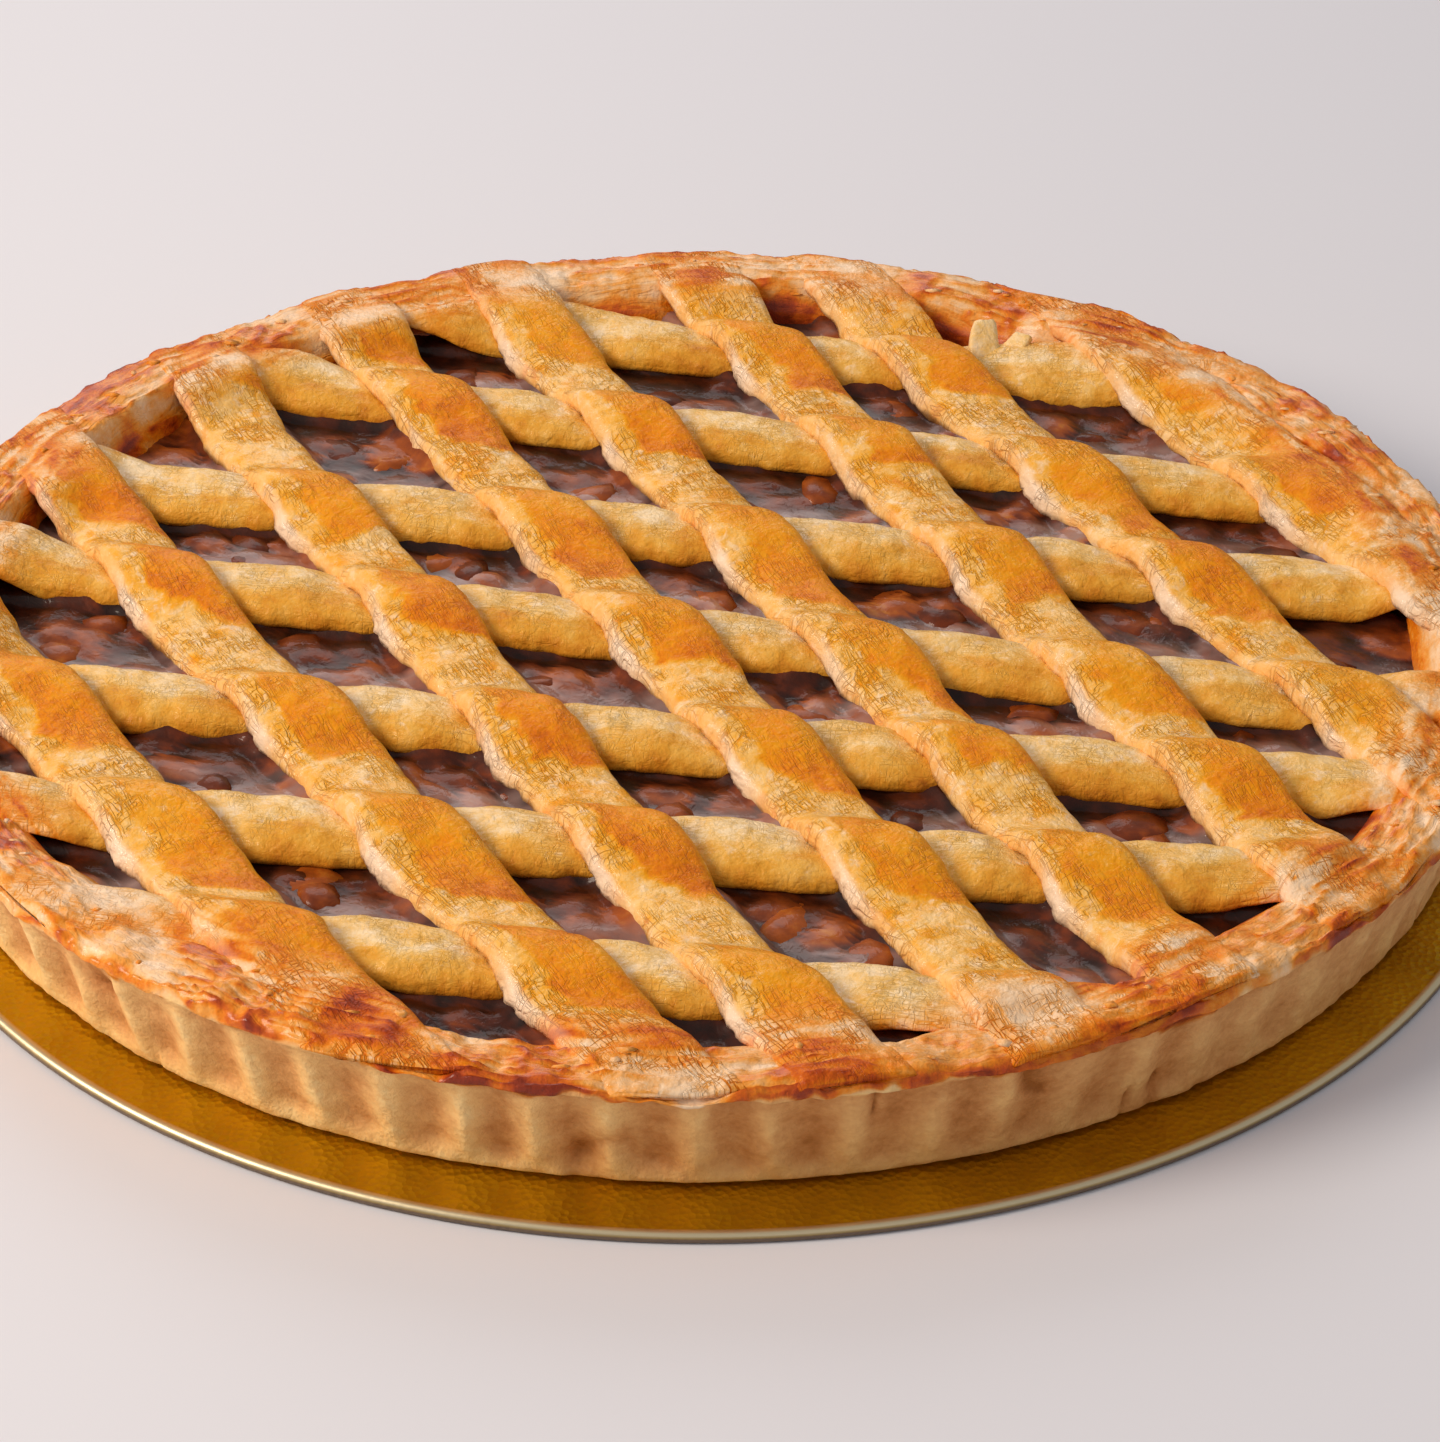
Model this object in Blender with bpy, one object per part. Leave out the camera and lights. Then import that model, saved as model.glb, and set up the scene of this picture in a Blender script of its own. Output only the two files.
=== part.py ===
"""A round lattice apple pie on its gold cake card, 30 cm across.

Lengths are in millimetres and are turned into metres where vertices are made. The origin is
under the middle of the whole thing, on the surface that the card lies on, +Z up. -Y is the
side that the pie is looked at from. Seven lower strips lie on the apples from left to right,
and eight upper strips lie over them from the front right to the back left, without weaving.
"""

import math
import random
from collections import namedtuple

import bmesh
import bpy
from mathutils import Vector

MM = 0.001
GAP = 0.3  # left between pieces that touch

# The card, and the pie's place on it: the pie sits back, so the card shows in front.
CARD_RADIUS = 152.8
CARD_THICKNESS = 2.0
CARD_BEVEL = 0.6
CARD_SEGMENTS = 96
PIE_FROM_CARD = Vector((-0.6, 5.5))
CARD_CENTRE = Vector((0.0, -PIE_FROM_CARD.y / 2 + 0.4))
PIE_CENTRE = CARD_CENTRE + PIE_FROM_CARD

# The case of short pastry, as a fluted tin shapes it.
BASE_RADIUS = 145.4
WALL_TOP_RADIUS = 151.0
RIM_RADIUS = 152.0
WALL_THICKNESS = 11.5
FLOOR_THICKNESS = 3.2
BASE_HEIGHT = CARD_THICKNESS + GAP
WALL_TOP_HEIGHT = 21.6
RIM_EDGE_HEIGHT = 22.7
RIM_SEAT_HEIGHT = 22.6
RIM_CREST = 3.4  # how far the rim stands up between the ends of the strips
CREST_ROOM = (2.5, 9.0)  # from the strips: none, and the whole crest
RIM_UNEVEN = 0.5
FLUTES = 72
FLUTE_DEPTH = 1.3
POINTS_PER_FLUTE = 4

# The apples, cut in chunks and set in syrup.
FILLING_HEIGHT = 20.0
CHUNK_SIZE = (6.5, 10.0)
CHUNKS_PER_WINDOW = 3
CHUNK_RISE = (0.9, 2.2)  # how far a chunk stands out of the syrup
CHUNK_ROOM = 0.62  # clear of the strips, as a share of the chunk's size
TOP_TAPER = (0.72, 0.88)

# The strips: each is given by where it passes the pie's centre, measured across its family,
# and by the way it runs, in degrees from +X. They were laid by hand, so they are uneven.
UPPER_ACROSS = 27.9
UPPER_PLACES = (-118, -80, -45, -9, 23, 61, 92, 129)
UPPER_COURSES = (122.5, 121.0, 117.5, 117.0, 116.0, 115.5, 117.0, 118.0)
UPPER_WIDTHS = (17.0, 16.5, 16.0, 16.0, 15.5, 16.0, 15.5, 16.0)
LOWER_ACROSS = 81.4
LOWER_PLACES = (116, 78, 36, -2, -39, -75, -115)
LOWER_COURSES = (169.0, 167.5, 171.0, 169.0, 172.5, 174.5, 170.5)
LOWER_WIDTHS = (14.0, 14.0, 15.0, 14.5, 14.0, 14.5, 14.0)
UPPER_THICKNESS = 4.4
LOWER_THICKNESS = 4.9
LOWER_PRESSED = 3.4  # under an upper strip
END_THICKNESS = 3.3
END_PRESSED = 2.0
END_RADIUS = 151.0
RISE_START = 125.0  # where the strips start to climb onto the rim
RISE_END = 136.0
RIM_SLACK = 0.5
UPPER_EARLY = 6.0  # how much sooner the upper strips climb
DRAPE_FLAT = 1.5  # how far past a lower strip's edge an upper one stays up
DRAPE_END = 7.0
DRAPE_WIDER = 11.0  # by the rim, where strips are pressed together
WIDER_FROM = (90.0, 118.0)
WIDEST_STEP = 9.0  # between the sections of a strip
NARROWEST_STEP = 3.0
END_STEP = 7.0
END_ROOM = 14.0

Strip = namedtuple("Strip", "name point along width")


def smoothstep(start, end, value):
    t = min(max((value - start) / (end - start), 0.0), 1.0)
    return t * t * (3 - 2 * t)


def mix(a, b, share):
    return a + (b - a) * share


def heading(degrees):
    return Vector((math.cos(math.radians(degrees)), math.sin(math.radians(degrees))))


def strips_of(name, across, places, courses, widths):
    return [
        Strip(f"{name}_{n}", heading(across) * place, heading(course), width)
        for n, (place, course, width) in enumerate(zip(places, courses, widths), 1)
    ]


UPPER = strips_of("upper_strip", UPPER_ACROSS, UPPER_PLACES, UPPER_COURSES, UPPER_WIDTHS)
LOWER = strips_of("lower_strip", LOWER_ACROSS, LOWER_PLACES, LOWER_COURSES, LOWER_WIDTHS)


def off_line(strip, spot):
    """How far a spot is from the middle line of a strip, to the left of it as positive."""
    return strip.along.cross(spot - strip.point)


def past_edge(strips, spot):
    """How far a spot is outside the nearest of these strips."""
    return min(abs(off_line(strip, spot)) - strip.width / 2 for strip in strips)


def crossing(a, b):
    """How far along strip a, from its point, strip b crosses it."""
    return b.along.cross(b.point - a.point) / b.along.cross(a.along)


def pressed_by(strips, spot):
    """1 where one of these strips crosses, 0 in the middle of a window. It is wider by the rim."""
    wider = DRAPE_WIDER * smoothstep(*WIDER_FROM, spot.length)
    return 1 - smoothstep(DRAPE_FLAT + wider, DRAPE_END + wider, past_edge(strips, spot))


def on_rim(spot, early=0.0):
    return smoothstep(RISE_START, RISE_END, spot.length + early)


def lower_base(spot, early=0.0):
    """Where undersides rest: on the apples, then on the rim."""
    return mix(FILLING_HEIGHT, RIM_SEAT_HEIGHT + RIM_SLACK, on_rim(spot, early)) + GAP


def lower_thickness(spot):
    pressed = pressed_by(UPPER, spot)
    inside = mix(LOWER_THICKNESS, LOWER_PRESSED, pressed)
    return mix(inside, END_PRESSED, on_rim(spot))


def upper_base(spot):
    lifted = mix(LOWER_PRESSED, END_PRESSED, on_rim(spot)) + GAP
    return lower_base(spot, UPPER_EARLY) + lifted * pressed_by(LOWER, spot)


def upper_thickness(spot):
    return mix(UPPER_THICKNESS, END_THICKNESS, on_rim(spot, UPPER_EARLY))


def linked(name, bm, smooth_angle, material):
    """A finished object from a bmesh in millimetres about the world origin."""
    bmesh.ops.recalc_face_normals(bm, faces=bm.faces)
    bmesh.ops.scale(bm, vec=(MM, MM, MM), verts=bm.verts)
    mesh = bpy.data.meshes.new(name)
    bm.to_mesh(mesh)
    bm.free()
    mesh.shade_smooth()
    mesh.set_sharp_from_angle(angle=math.radians(smooth_angle))
    mesh.materials.append(material)
    obj = bpy.data.objects.new(name, mesh)
    bpy.context.scene.collection.objects.link(obj)
    return obj


def material(name, colour, roughness, metallic=0.0, coat=0.0):
    made = bpy.data.materials.new(name)
    made.use_nodes = True
    shader = made.node_tree.nodes["Principled BSDF"]
    shader.inputs["Base Color"].default_value = (*colour, 1.0)
    shader.inputs["Roughness"].default_value = roughness
    shader.inputs["Metallic"].default_value = metallic
    shader.inputs["Coat Weight"].default_value = coat
    made.diffuse_color = (*colour, 1.0)
    return made


def make_card(gold):
    bm = bmesh.new()
    bmesh.ops.create_cone(
        bm,
        cap_ends=True,
        segments=CARD_SEGMENTS,
        radius1=CARD_RADIUS,
        radius2=CARD_RADIUS,
        depth=CARD_THICKNESS,
    )
    rims = [edge for edge in bm.edges if abs(edge.verts[0].co.z - edge.verts[1].co.z) < 0.1]
    bmesh.ops.bevel(bm, geom=rims, offset=CARD_BEVEL, segments=1, affect="EDGES")
    middle = Vector((*CARD_CENTRE, CARD_THICKNESS / 2))
    bmesh.ops.translate(bm, vec=middle, verts=bm.verts)
    return linked("cake_card", bm, 30, gold)


def case_profile():
    """Half of a section through the case, from the middle of its underside round to its floor."""
    inner = RIM_RADIUS - WALL_THICKNESS
    floor = BASE_HEIGHT + FLOOR_THICKNESS
    return (
        (0, BASE_HEIGHT),
        (BASE_RADIUS, BASE_HEIGHT),
        (WALL_TOP_RADIUS, WALL_TOP_HEIGHT),
        (RIM_RADIUS, RIM_EDGE_HEIGHT),
        (mix(inner, RIM_RADIUS, 0.62), RIM_SEAT_HEIGHT),
        (inner, RIM_SEAT_HEIGHT),
        (inner - 1.5, floor),
        (0, floor),
    )


def flute(angle):
    """The scallop that the tin leaves, 0 on a ridge and 1 in the middle of a hollow."""
    return abs(math.sin(angle * FLUTES / 2))


def shape_case(vertex, draw):
    """Presses the flutes into the wall and raises the rim between the ends of the strips."""
    radius = vertex.co.xy.length
    if radius < BASE_RADIUS - WALL_THICKNESS:
        return
    angle = math.atan2(vertex.co.y, vertex.co.x)
    outward = heading(math.degrees(angle))
    if vertex.co.z > WALL_TOP_HEIGHT + 0.2:
        room = past_edge(UPPER + LOWER, vertex.co.xy)
        vertex.co.z += RIM_CREST * smoothstep(*CREST_ROOM, room)
        vertex.co.xy = outward * (radius - RIM_UNEVEN * draw.random())
    elif radius > BASE_RADIUS - 1:
        vertex.co.xy = outward * (radius - FLUTE_DEPTH * flute(angle))


def make_case(pastry):
    bm = bmesh.new()
    section = [bm.verts.new((radius, 0, height)) for radius, height in case_profile()]
    edges = [bm.edges.new(pair) for pair in zip(section, section[1:])]
    bmesh.ops.spin(
        bm,
        geom=section + edges,
        axis=(0, 0, 1),
        cent=(0, 0, 0),
        angle=2 * math.pi,
        steps=FLUTES * POINTS_PER_FLUTE,
        use_merge=True,
    )
    bmesh.ops.remove_doubles(bm, verts=bm.verts, dist=0.01)
    draw = random.Random(3)
    for vertex in bm.verts:
        shape_case(vertex, draw)
    bmesh.ops.translate(bm, vec=Vector((*PIE_CENTRE, 0)), verts=bm.verts)
    return linked("pastry_case", bm, 40, pastry)


def stations(strip, others, first, last):
    """Distances along a strip where its sections lie: round each crossing and between them."""
    found = set()
    for other in others:
        middle = crossing(strip, other)
        slant = abs(strip.along.cross(other.along))
        for out in (other.width / 2 + DRAPE_FLAT, other.width / 2 + DRAPE_END):
            found |= {middle - out / slant, middle + out / slant}
    spaced = [first]
    for place in [*sorted(place for place in found if first < place < last), last]:
        if place - spaced[-1] < NARROWEST_STEP:
            continue
        parts = math.ceil((place - spaced[-1]) / WIDEST_STEP)
        spaced += [mix(spaced[-1], place, n / parts) for n in range(1, parts + 1)]
    return spaced


def edge_line(strip, aside, skew):
    """A line beside a strip's middle: its start, and how far along it leaves the pie each way."""
    across = Vector((-strip.along.y, strip.along.x))
    start = strip.point + across * aside + strip.along * (aside * skew)
    middle = -start.dot(strip.along)
    half = math.sqrt(END_RADIUS**2 - (start + strip.along * middle).length_squared)
    return start, middle - half, middle + half


def toward_ends(places, lows, highs):
    """Places along every line: level with each other in the middle, and fanned out to the ends."""
    before = math.ceil((places[0] - min(lows)) / END_STEP)
    after = math.ceil((max(highs) - places[-1]) / END_STEP)
    rows = [[mix(low, places[0], n / before) for low in lows] for n in range(before)]
    rows += [[place] * len(lows) for place in places]
    rows += [[mix(places[-1], high, n / after) for high in highs] for n in range(1, after + 1)]
    return rows


def loft(bm, rings):
    """Joins rings of points, one after the other, and closes the two ends."""
    rows = [[bm.verts.new(point) for point in ring] for ring in rings]
    for row, following in zip(rows, rows[1:]):
        for n in range(len(row)):
            after = (n + 1) % len(row)
            bm.faces.new((row[n], row[after], following[after], following[n]))
    bm.faces.new(rows[0])
    bm.faces.new(rows[-1])


def make_strip(strip, others, base, thickness, section, pastry):
    """A strip whose sections lie along the strips that cross it, cut off round at the edge."""
    crossing_way = others[len(others) // 2].along
    skew = strip.along.dot(crossing_way) / strip.along.cross(crossing_way)
    lines = [edge_line(strip, aside * strip.width, skew) for aside, rise in section]
    starts, lows, highs = zip(*lines)
    level = stations(strip, others, max(lows) + END_ROOM, min(highs) - END_ROOM)
    rings = []
    for row in toward_ends(level, lows, highs):
        spots = [start + strip.along * place for start, place in zip(starts, row)]
        rings.append(
            [
                Vector((*(spot + PIE_CENTRE), base(spot) + rise * thickness(spot)))
                for spot, (aside, rise) in zip(spots, section)
            ]
        )
    bm = bmesh.new()
    loft(bm, rings)
    return linked(strip.name, bm, 50, pastry)


# Sections as (share of the width aside, share of the thickness up).
FLAT_SECTION = ((-0.46, 0), (-0.5, 0.5), (-0.34, 0.97), (0.34, 0.97), (0.5, 0.5), (0.46, 0))
ROUND_SECTION = ((-0.45, 0), (-0.5, 0.45), (-0.26, 1), (0.26, 1), (0.5, 0.45), (0.45, 0))


def window_centres():
    """The middle of each gap between two upper and two lower strips, inside the rim."""
    for left, right in zip(UPPER, UPPER[1:]):
        for back, front in zip(LOWER, LOWER[1:]):
            corners = [
                upper.point + upper.along * crossing(upper, lower)
                for upper in (left, right)
                for lower in (back, front)
            ]
            middle = sum(corners, Vector((0, 0))) / 4
            if middle.length < RISE_END - 6:
                yield middle


def make_chunk(spot, size, rise, draw):
    """One chunk of apple, a rough cube that reaches down into the filling."""
    bm = bmesh.new()
    bmesh.ops.create_cube(bm, size=size)
    for vertex in bm.verts:
        upper = vertex.co.z > 0
        vertex.co.xy *= draw.uniform(*TOP_TAPER) if upper else 1.0
        vertex.co.z *= draw.uniform(0.9, 1.0) if upper else 1.0
    turn = draw.uniform(0, 90)
    low_edge = FILLING_HEIGHT + rise - size / 2
    for vertex in bm.verts:
        vertex.co.xy = heading(turn) * vertex.co.x + heading(turn + 90) * vertex.co.y
        vertex.co += Vector((*(spot + PIE_CENTRE), low_edge))
    return bm


def chunk_places(draw):
    """Where chunks show in the windows, with their size: clear of the strips and each other."""
    placed = []
    for middle in window_centres():
        in_window = []
        for attempt in range(40):
            size = draw.uniform(*CHUNK_SIZE)
            spot = middle + Vector((draw.uniform(-11, 11), draw.uniform(-9, 9)))
            room = min(past_edge(UPPER + LOWER, spot), RISE_START - spot.length)
            apart = all((spot - other).length > (size + width) * 0.42 for other, width in in_window)
            if room > size * CHUNK_ROOM and apart:
                in_window.append((spot, size))
            if len(in_window) == CHUNKS_PER_WINDOW:
                break
        placed += in_window
    return placed


def make_filling(apple):
    """The syrup up to its level, with the chunks that stand out of it fused on."""
    bottom = BASE_HEIGHT + FLOOR_THICKNESS + GAP
    radius = RIM_RADIUS - WALL_THICKNESS - 1.5 - GAP
    bm = bmesh.new()
    bmesh.ops.create_cone(
        bm,
        cap_ends=True,
        segments=CARD_SEGMENTS,
        radius1=radius,
        radius2=radius,
        depth=FILLING_HEIGHT - bottom,
    )
    middle = Vector((*PIE_CENTRE, (FILLING_HEIGHT + bottom) / 2))
    bmesh.ops.translate(bm, vec=middle, verts=bm.verts)
    filling = linked("apple_filling", bm, 30, apple)

    draw = random.Random(11)
    chunks = bpy.data.collections.new("chunks")
    bpy.context.scene.collection.children.link(chunks)
    for n, (spot, size) in enumerate(chunk_places(draw)):
        chunk = linked(f"chunk_{n}", make_chunk(spot, size, draw.uniform(*CHUNK_RISE), draw), 30, apple)
        bpy.context.scene.collection.objects.unlink(chunk)
        chunks.objects.link(chunk)
    union = filling.modifiers.new("fuse chunks", "BOOLEAN")
    union.operation = "UNION"
    union.operand_type = "COLLECTION"
    union.collection = chunks
    union.solver = "EXACT"
    fused = bpy.data.meshes.new_from_object(
        filling.evaluated_get(bpy.context.evaluated_depsgraph_get())
    )
    filling.modifiers.clear()
    filling.data = fused
    for chunk in list(chunks.objects):
        bpy.data.objects.remove(chunk)
    bpy.data.collections.remove(chunks)
    return filling


for old in list(bpy.data.objects):
    bpy.data.objects.remove(old)

gold = material("gold foil", (0.62, 0.33, 0.05), 0.3, metallic=1.0)
pale_pastry = material("baked pastry wall", (0.62, 0.37, 0.15), 0.75)
brown_pastry = material("glazed upper strips", (0.62, 0.31, 0.07), 0.3, coat=0.5)
yellow_pastry = material("glazed lower strips", (0.70, 0.43, 0.14), 0.35, coat=0.4)
apple = material("apples in syrup", (0.14, 0.05, 0.015), 0.2, coat=0.8)

make_card(gold)
make_case(pale_pastry)
make_filling(apple)
for strip in LOWER:
    make_strip(strip, UPPER, lower_base, lower_thickness, ROUND_SECTION, yellow_pastry)
for strip in UPPER:
    make_strip(strip, LOWER, upper_base, upper_thickness, FLAT_SECTION, brown_pastry)
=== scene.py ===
import math

import bmesh
import bpy
import numpy as np
from mathutils import Matrix, Vector


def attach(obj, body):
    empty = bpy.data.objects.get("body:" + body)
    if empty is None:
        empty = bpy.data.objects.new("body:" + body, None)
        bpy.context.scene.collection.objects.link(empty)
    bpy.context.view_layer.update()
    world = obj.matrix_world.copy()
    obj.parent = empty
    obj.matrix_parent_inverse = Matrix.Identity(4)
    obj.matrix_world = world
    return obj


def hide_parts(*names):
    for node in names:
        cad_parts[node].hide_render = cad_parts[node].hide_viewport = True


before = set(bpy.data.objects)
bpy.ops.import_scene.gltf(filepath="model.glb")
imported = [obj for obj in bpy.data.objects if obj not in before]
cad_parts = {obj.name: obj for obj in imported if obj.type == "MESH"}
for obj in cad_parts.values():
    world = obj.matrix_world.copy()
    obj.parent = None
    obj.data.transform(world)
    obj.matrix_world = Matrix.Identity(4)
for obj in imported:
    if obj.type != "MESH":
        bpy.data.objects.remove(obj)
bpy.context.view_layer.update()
mm = 0.001
print("frame loaded:", len(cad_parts), "nodes")

# The lattice is worked out in millimetres about the middle of the pie, like the solids.
# A strip is given by where it passes the middle, measured across its family, and its course.
pie = {
    "centre": (-0.6, 3.15),
    "stripBase": 20.3,
    "rimSeat": 23.4,
    "rise": (124.0, 137.0),   # radii where the strips climb onto the rim
    "endRadius": 151.2,
    "rimLift": 2.9,           # how much higher the far rim stands than the near one
    "liftShare": 0.9,         # how much of that the strips' ends follow
    "top": 29.75,
}
upperStrips = {
    "across": 27.9,   # degrees, the way along which the places are counted
    "places": (-118, -80, -45, -9, 23, 61, 92, 129),
    "courses": (122.5, 121.0, 117.5, 117.0, 116.0, 115.5, 117.0, 118.0),
    "widths": (17.8, 17.4, 16.8, 16.8, 16.2, 16.8, 16.0, 16.8),
    "thickness": 4.6, "endThickness": 3.7, "squareness": 3.5, "pointsAround": 50,
    "lift": 4.0, "humpBack": 3.0, "humpFront": 11.0, "sag": 0.5,
    "lumps": (9.0, 0.50), "wrinkles": 0.20, "edge": 0.85, "wobble": 0.9,
    "rimHump": 0.3,              # share of the lift that is left on the rim
    "torn": (12.0, 5.5, 1.2),    # mm in front of a crossing, reach along the strip, and bulge
    "patch": (17.5, 10.0),       # how far the browning runs from a crossing, and how much that varies
    # how far the parts of a strip browned, from 0 for raw dough to 1
    "plain": 0.22, "spots": 0.17, "browned": 0.25, "deeper": (0.14, 0.12), "mottle": 0.13,
    "stainAndShade": (20.4, 21.8, 0.85),   # heights between which the syrup's stain, partly painted shade at the strip's foot, ends, and its strength
}
lowerStrips = {
    "across": 81.4,
    "places": (116, 78, 36, -2, -39, -75, -115),
    "courses": (169.0, 167.5, 171.0, 169.0, 172.5, 174.5, 170.5),
    "widths": (15.8, 15.8, 16.8, 16.4, 16.0, 16.4, 15.8),
    "thickness": 5.6, "endThickness": 3.0, "squareness": 3.3, "pointsAround": 46,
    "pressed": 3.3, "pressReach": 7.0,
    "lumps": (7.0, 0.62), "wrinkles": 0.22, "edge": 0.9, "wobble": 0.9,
    "sunk": 0.8, "bulge": 0.9,
    "plain": 0.15, "blotch": 0.22, "mottle": 0.12, "nearSideBakeAndShade": 0.28, "shadedFlanks": 0.14,
    "stainAndShade": (19.2, 20.6, 0.7),
}
rim = {
    # radius and height of its top face before the crags
    "profile": ((135.6, 18.0), (136.8, 22.6), (139.5, 25.2), (144.0, 26.2), (149.6, 26.2), (151.7, 25.2)),
    "ring": 148.0,   # radius on which the patterns that run round it are worked out
    # size across and height of its lumps, and length, width and height of its folds
    "crags": (6.0, 0.8), "grit": (1.7, 0.28), "waves": (24.0, 0.9), "folds": (11.0, 1.6, 0.9),
    "sunk": 0.3,
    "plain": 0.19, "blotch": 0.30, "foldTone": 0.42, "edgeTone": 0.14,
    "melt": (137.5, 144.5), "step": 1.1,   # where the strips' ends are pressed into it
    "tint": (127.0, 139.0),                # and where they take its colours
    "scorched": (   # place about the pie's middle, reach and strength
        ((-50, -138), 17, 0.30), ((-24, -150), 6, 0.25), ((27, -147), 12, 0.18), ((49, -143), 10, 0.15),
        ((70, -131), 14, 0.18), ((83, -124), 8, 0.16), ((118, -88), 13, 0.14), ((128, 50), 14, 0.18),
        ((100, 98), 13, 0.22), ((84, 116), 10, 0.20), ((71, 132), 12, 0.28), ((-6, 151), 9, 0.30),
        ((-130, 78), 10, 0.30), ((-122, -72), 12, 0.26), ((-82, -118), 9, 0.20), ((-49, 143), 10, 0.15),
    ),
}
meshStep = 0.68   # millimetres between the points along a strip


def hexColour(text):
    # sRGB hex to the linear values that Blender's sockets take
    parts = [int(text[n:n + 2], 16) / 255 for n in (1, 3, 5)]
    return (*[p / 12.92 if p <= 0.04045 else ((p + 0.055) / 1.055) ** 2.4 for p in parts], 1.0)


def smooth(low, high, value):
    t = np.clip((value - low) / (high - low), 0, 1)
    return t * t * (3 - 2 * t)


def mix(a, b, share):
    return a + (b - a) * share


def cellsOf(points, size):
    # the grid cell of this size in mm that each point lies in, and its place in that cell
    place = points / size + 512.0
    cell = np.floor(place).astype(np.int64)
    return cell, place - cell


def scrambled(cell, seed):
    # a random whole number for each cell, the same on every run
    primes = np.array((73856093, 19349663, 83492791))[:cell.shape[1]]
    key = cell @ primes + seed * 7919
    key = (key ^ (key >> 13)) * 1274126177 & 0xFFFFFFFF
    return (key ^ (key >> 16)) * 668265263 & 0xFFFFFFFF


def lumps(points, size, seed=0):
    # soft random lumps of this size in mm, -1 to 1
    cell, part = cellsOf(points, size)
    share = part * part * part * (part * (part * 6 - 15) + 10)
    total = np.zeros(len(points))
    for corner in np.ndindex(2, 2, 2):
        value = ((scrambled(cell + corner, seed) >> 8) & 0xFFFF) / 32767.5 - 1
        weight = np.where(np.array(corner) == 1, share, 1 - share).prod(axis=1)
        total += value * weight
    return total


def layered(points, size, seed=0, layers=3):
    found = sum(lumps(points, size / 2 ** n, seed + n) / 2 ** n for n in range(layers))
    return found / 1.4


def bumpy(points, shape, seed, kind=layered):
    # lumps from their size and height in mm
    size, height = shape
    return height * kind(points, size, seed)


def unevenness(points, shape, seed):
    # lumps that push each point sideways and up
    return np.column_stack([bumpy(points, shape, seed + axis) for axis in range(3)])


def creases(points, size, seed=0):
    # narrow folds, 0 between them and 1 on their backs
    return (1 - np.abs(lumps(points, size, seed))) ** 3


def withHeight(xy, z=0.0):
    return np.column_stack((xy, np.broadcast_to(z, len(xy))))


def fromMiddle(xy):
    return np.linalg.norm(xy, axis=1)


def heading(degrees):
    return np.array((math.cos(math.radians(degrees)), math.sin(math.radians(degrees))))


def stripsOf(family):
    return [
        {"point": heading(family["across"]) * place, "along": heading(course), "width": width}
        for place, course, width in zip(family["places"], family["courses"], family["widths"])
    ]


uppers = stripsOf(upperStrips)
lowers = stripsOf(lowerStrips)


def offLine(strip, xy):
    gap = xy - strip["point"]
    return strip["along"][0] * gap[:, 1] - strip["along"][1] * gap[:, 0]


def pastEdge(strips, xy):
    return np.min([np.abs(offLine(s, xy)) - s["width"] / 2 for s in strips], axis=0)


def humpOver(strips, xy, backReach, frontReach):
    # a rounded rise over each of these strips, 1 on its middle line, with a slope to each side
    found = np.zeros(len(xy))
    for s in strips:
        off = offLine(s, xy)
        away = np.where(off > 0, off / (s["width"] / 2 + frontReach), -off / (s["width"] / 2 + backReach))
        found = np.maximum(found, 0.5 + 0.5 * np.cos(np.pi * np.clip(away, 0, 1)))
    return found


def inFrontOf(strips, xy):
    # mm from the middle line of the strip that this point lies nearest in front of
    off = np.array([offLine(s, xy) for s in strips])
    return np.where(off > -9, off, 99).min(axis=0)


def behindEdge(strips, xy):
    # mm from this point forward to the far edge of the next strip
    gap = np.array([-offLine(s, xy) - s["width"] / 2 for s in strips])
    return np.where(gap > -6, gap, 99).min(axis=0)


def onRim(xy):
    return smooth(*pie["rise"], fromMiddle(xy))


def rimLift(xy):
    return pie["rimLift"] * smooth(-75, 45, xy[:, 1])


def ringPlace(xy):
    # a place that runs round the rim, and its own radius as the third number
    radius = fromMiddle(xy)
    return np.column_stack((xy * (rim["ring"] / np.maximum(radius, 1))[:, None], radius))


def rimStreaks(xy):
    # folds that run round the rim where the dough was pressed and trimmed
    place, flat = ringPlace(xy), withHeight(xy)
    length, width, _ = rim["folds"]
    place[:, 2] += width * lumps(flat, 13, 70)
    return creases(place / (length, length, width), 1.0, 7) * smooth(-0.75, 0.0, lumps(flat, 19, 8))


def rimRelief(xy):
    # what the crags, the folds and the lift add to the rim's plain section, in mm
    flat = withHeight(xy)
    crags = bumpy(flat, rim["crags"], 9) + bumpy(flat, rim["grit"], 10)
    waves = bumpy(flat, rim["waves"], 73, lumps)
    return crags + waves + rim["folds"][2] * rimStreaks(xy) - rim["sunk"] + rimLift(xy)


def rimTop(xy):
    radii, heights = zip(*rim["profile"])
    return np.interp(fromMiddle(xy), radii, heights) + rimRelief(xy)


def rimSeat(xy):
    # the height at which the strips' ends lie on the rim
    return pie["rimSeat"] + rimLift(xy) * pie["liftShare"]


def rimBake(xy):
    # how far the rim browned: pale where it lies low, deeper along its folds, scorched in places
    flat = withHeight(xy)
    tone = rim["plain"] + rim["blotch"] * layered(flat, 8, 71) + rim["foldTone"] * rimStreaks(xy)
    tone += rim["edgeTone"] * smooth(146.5, 151.5, fromMiddle(xy)) * smooth(-0.5, 0.4, lumps(flat, 11, 72))
    for place, reach, strength in rim["scorched"]:
        away = np.linalg.norm(xy - place, axis=1) / reach + 0.25 * lumps(flat, 5, 74)
        tone += strength * np.exp(-away ** 2)
    return tone


def belowTop(z, sharpness=1.6):
    # eases the highest points under the pie's height
    return pie["top"] - np.log1p(np.exp((pie["top"] - z) * sharpness)) / sharpness


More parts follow.
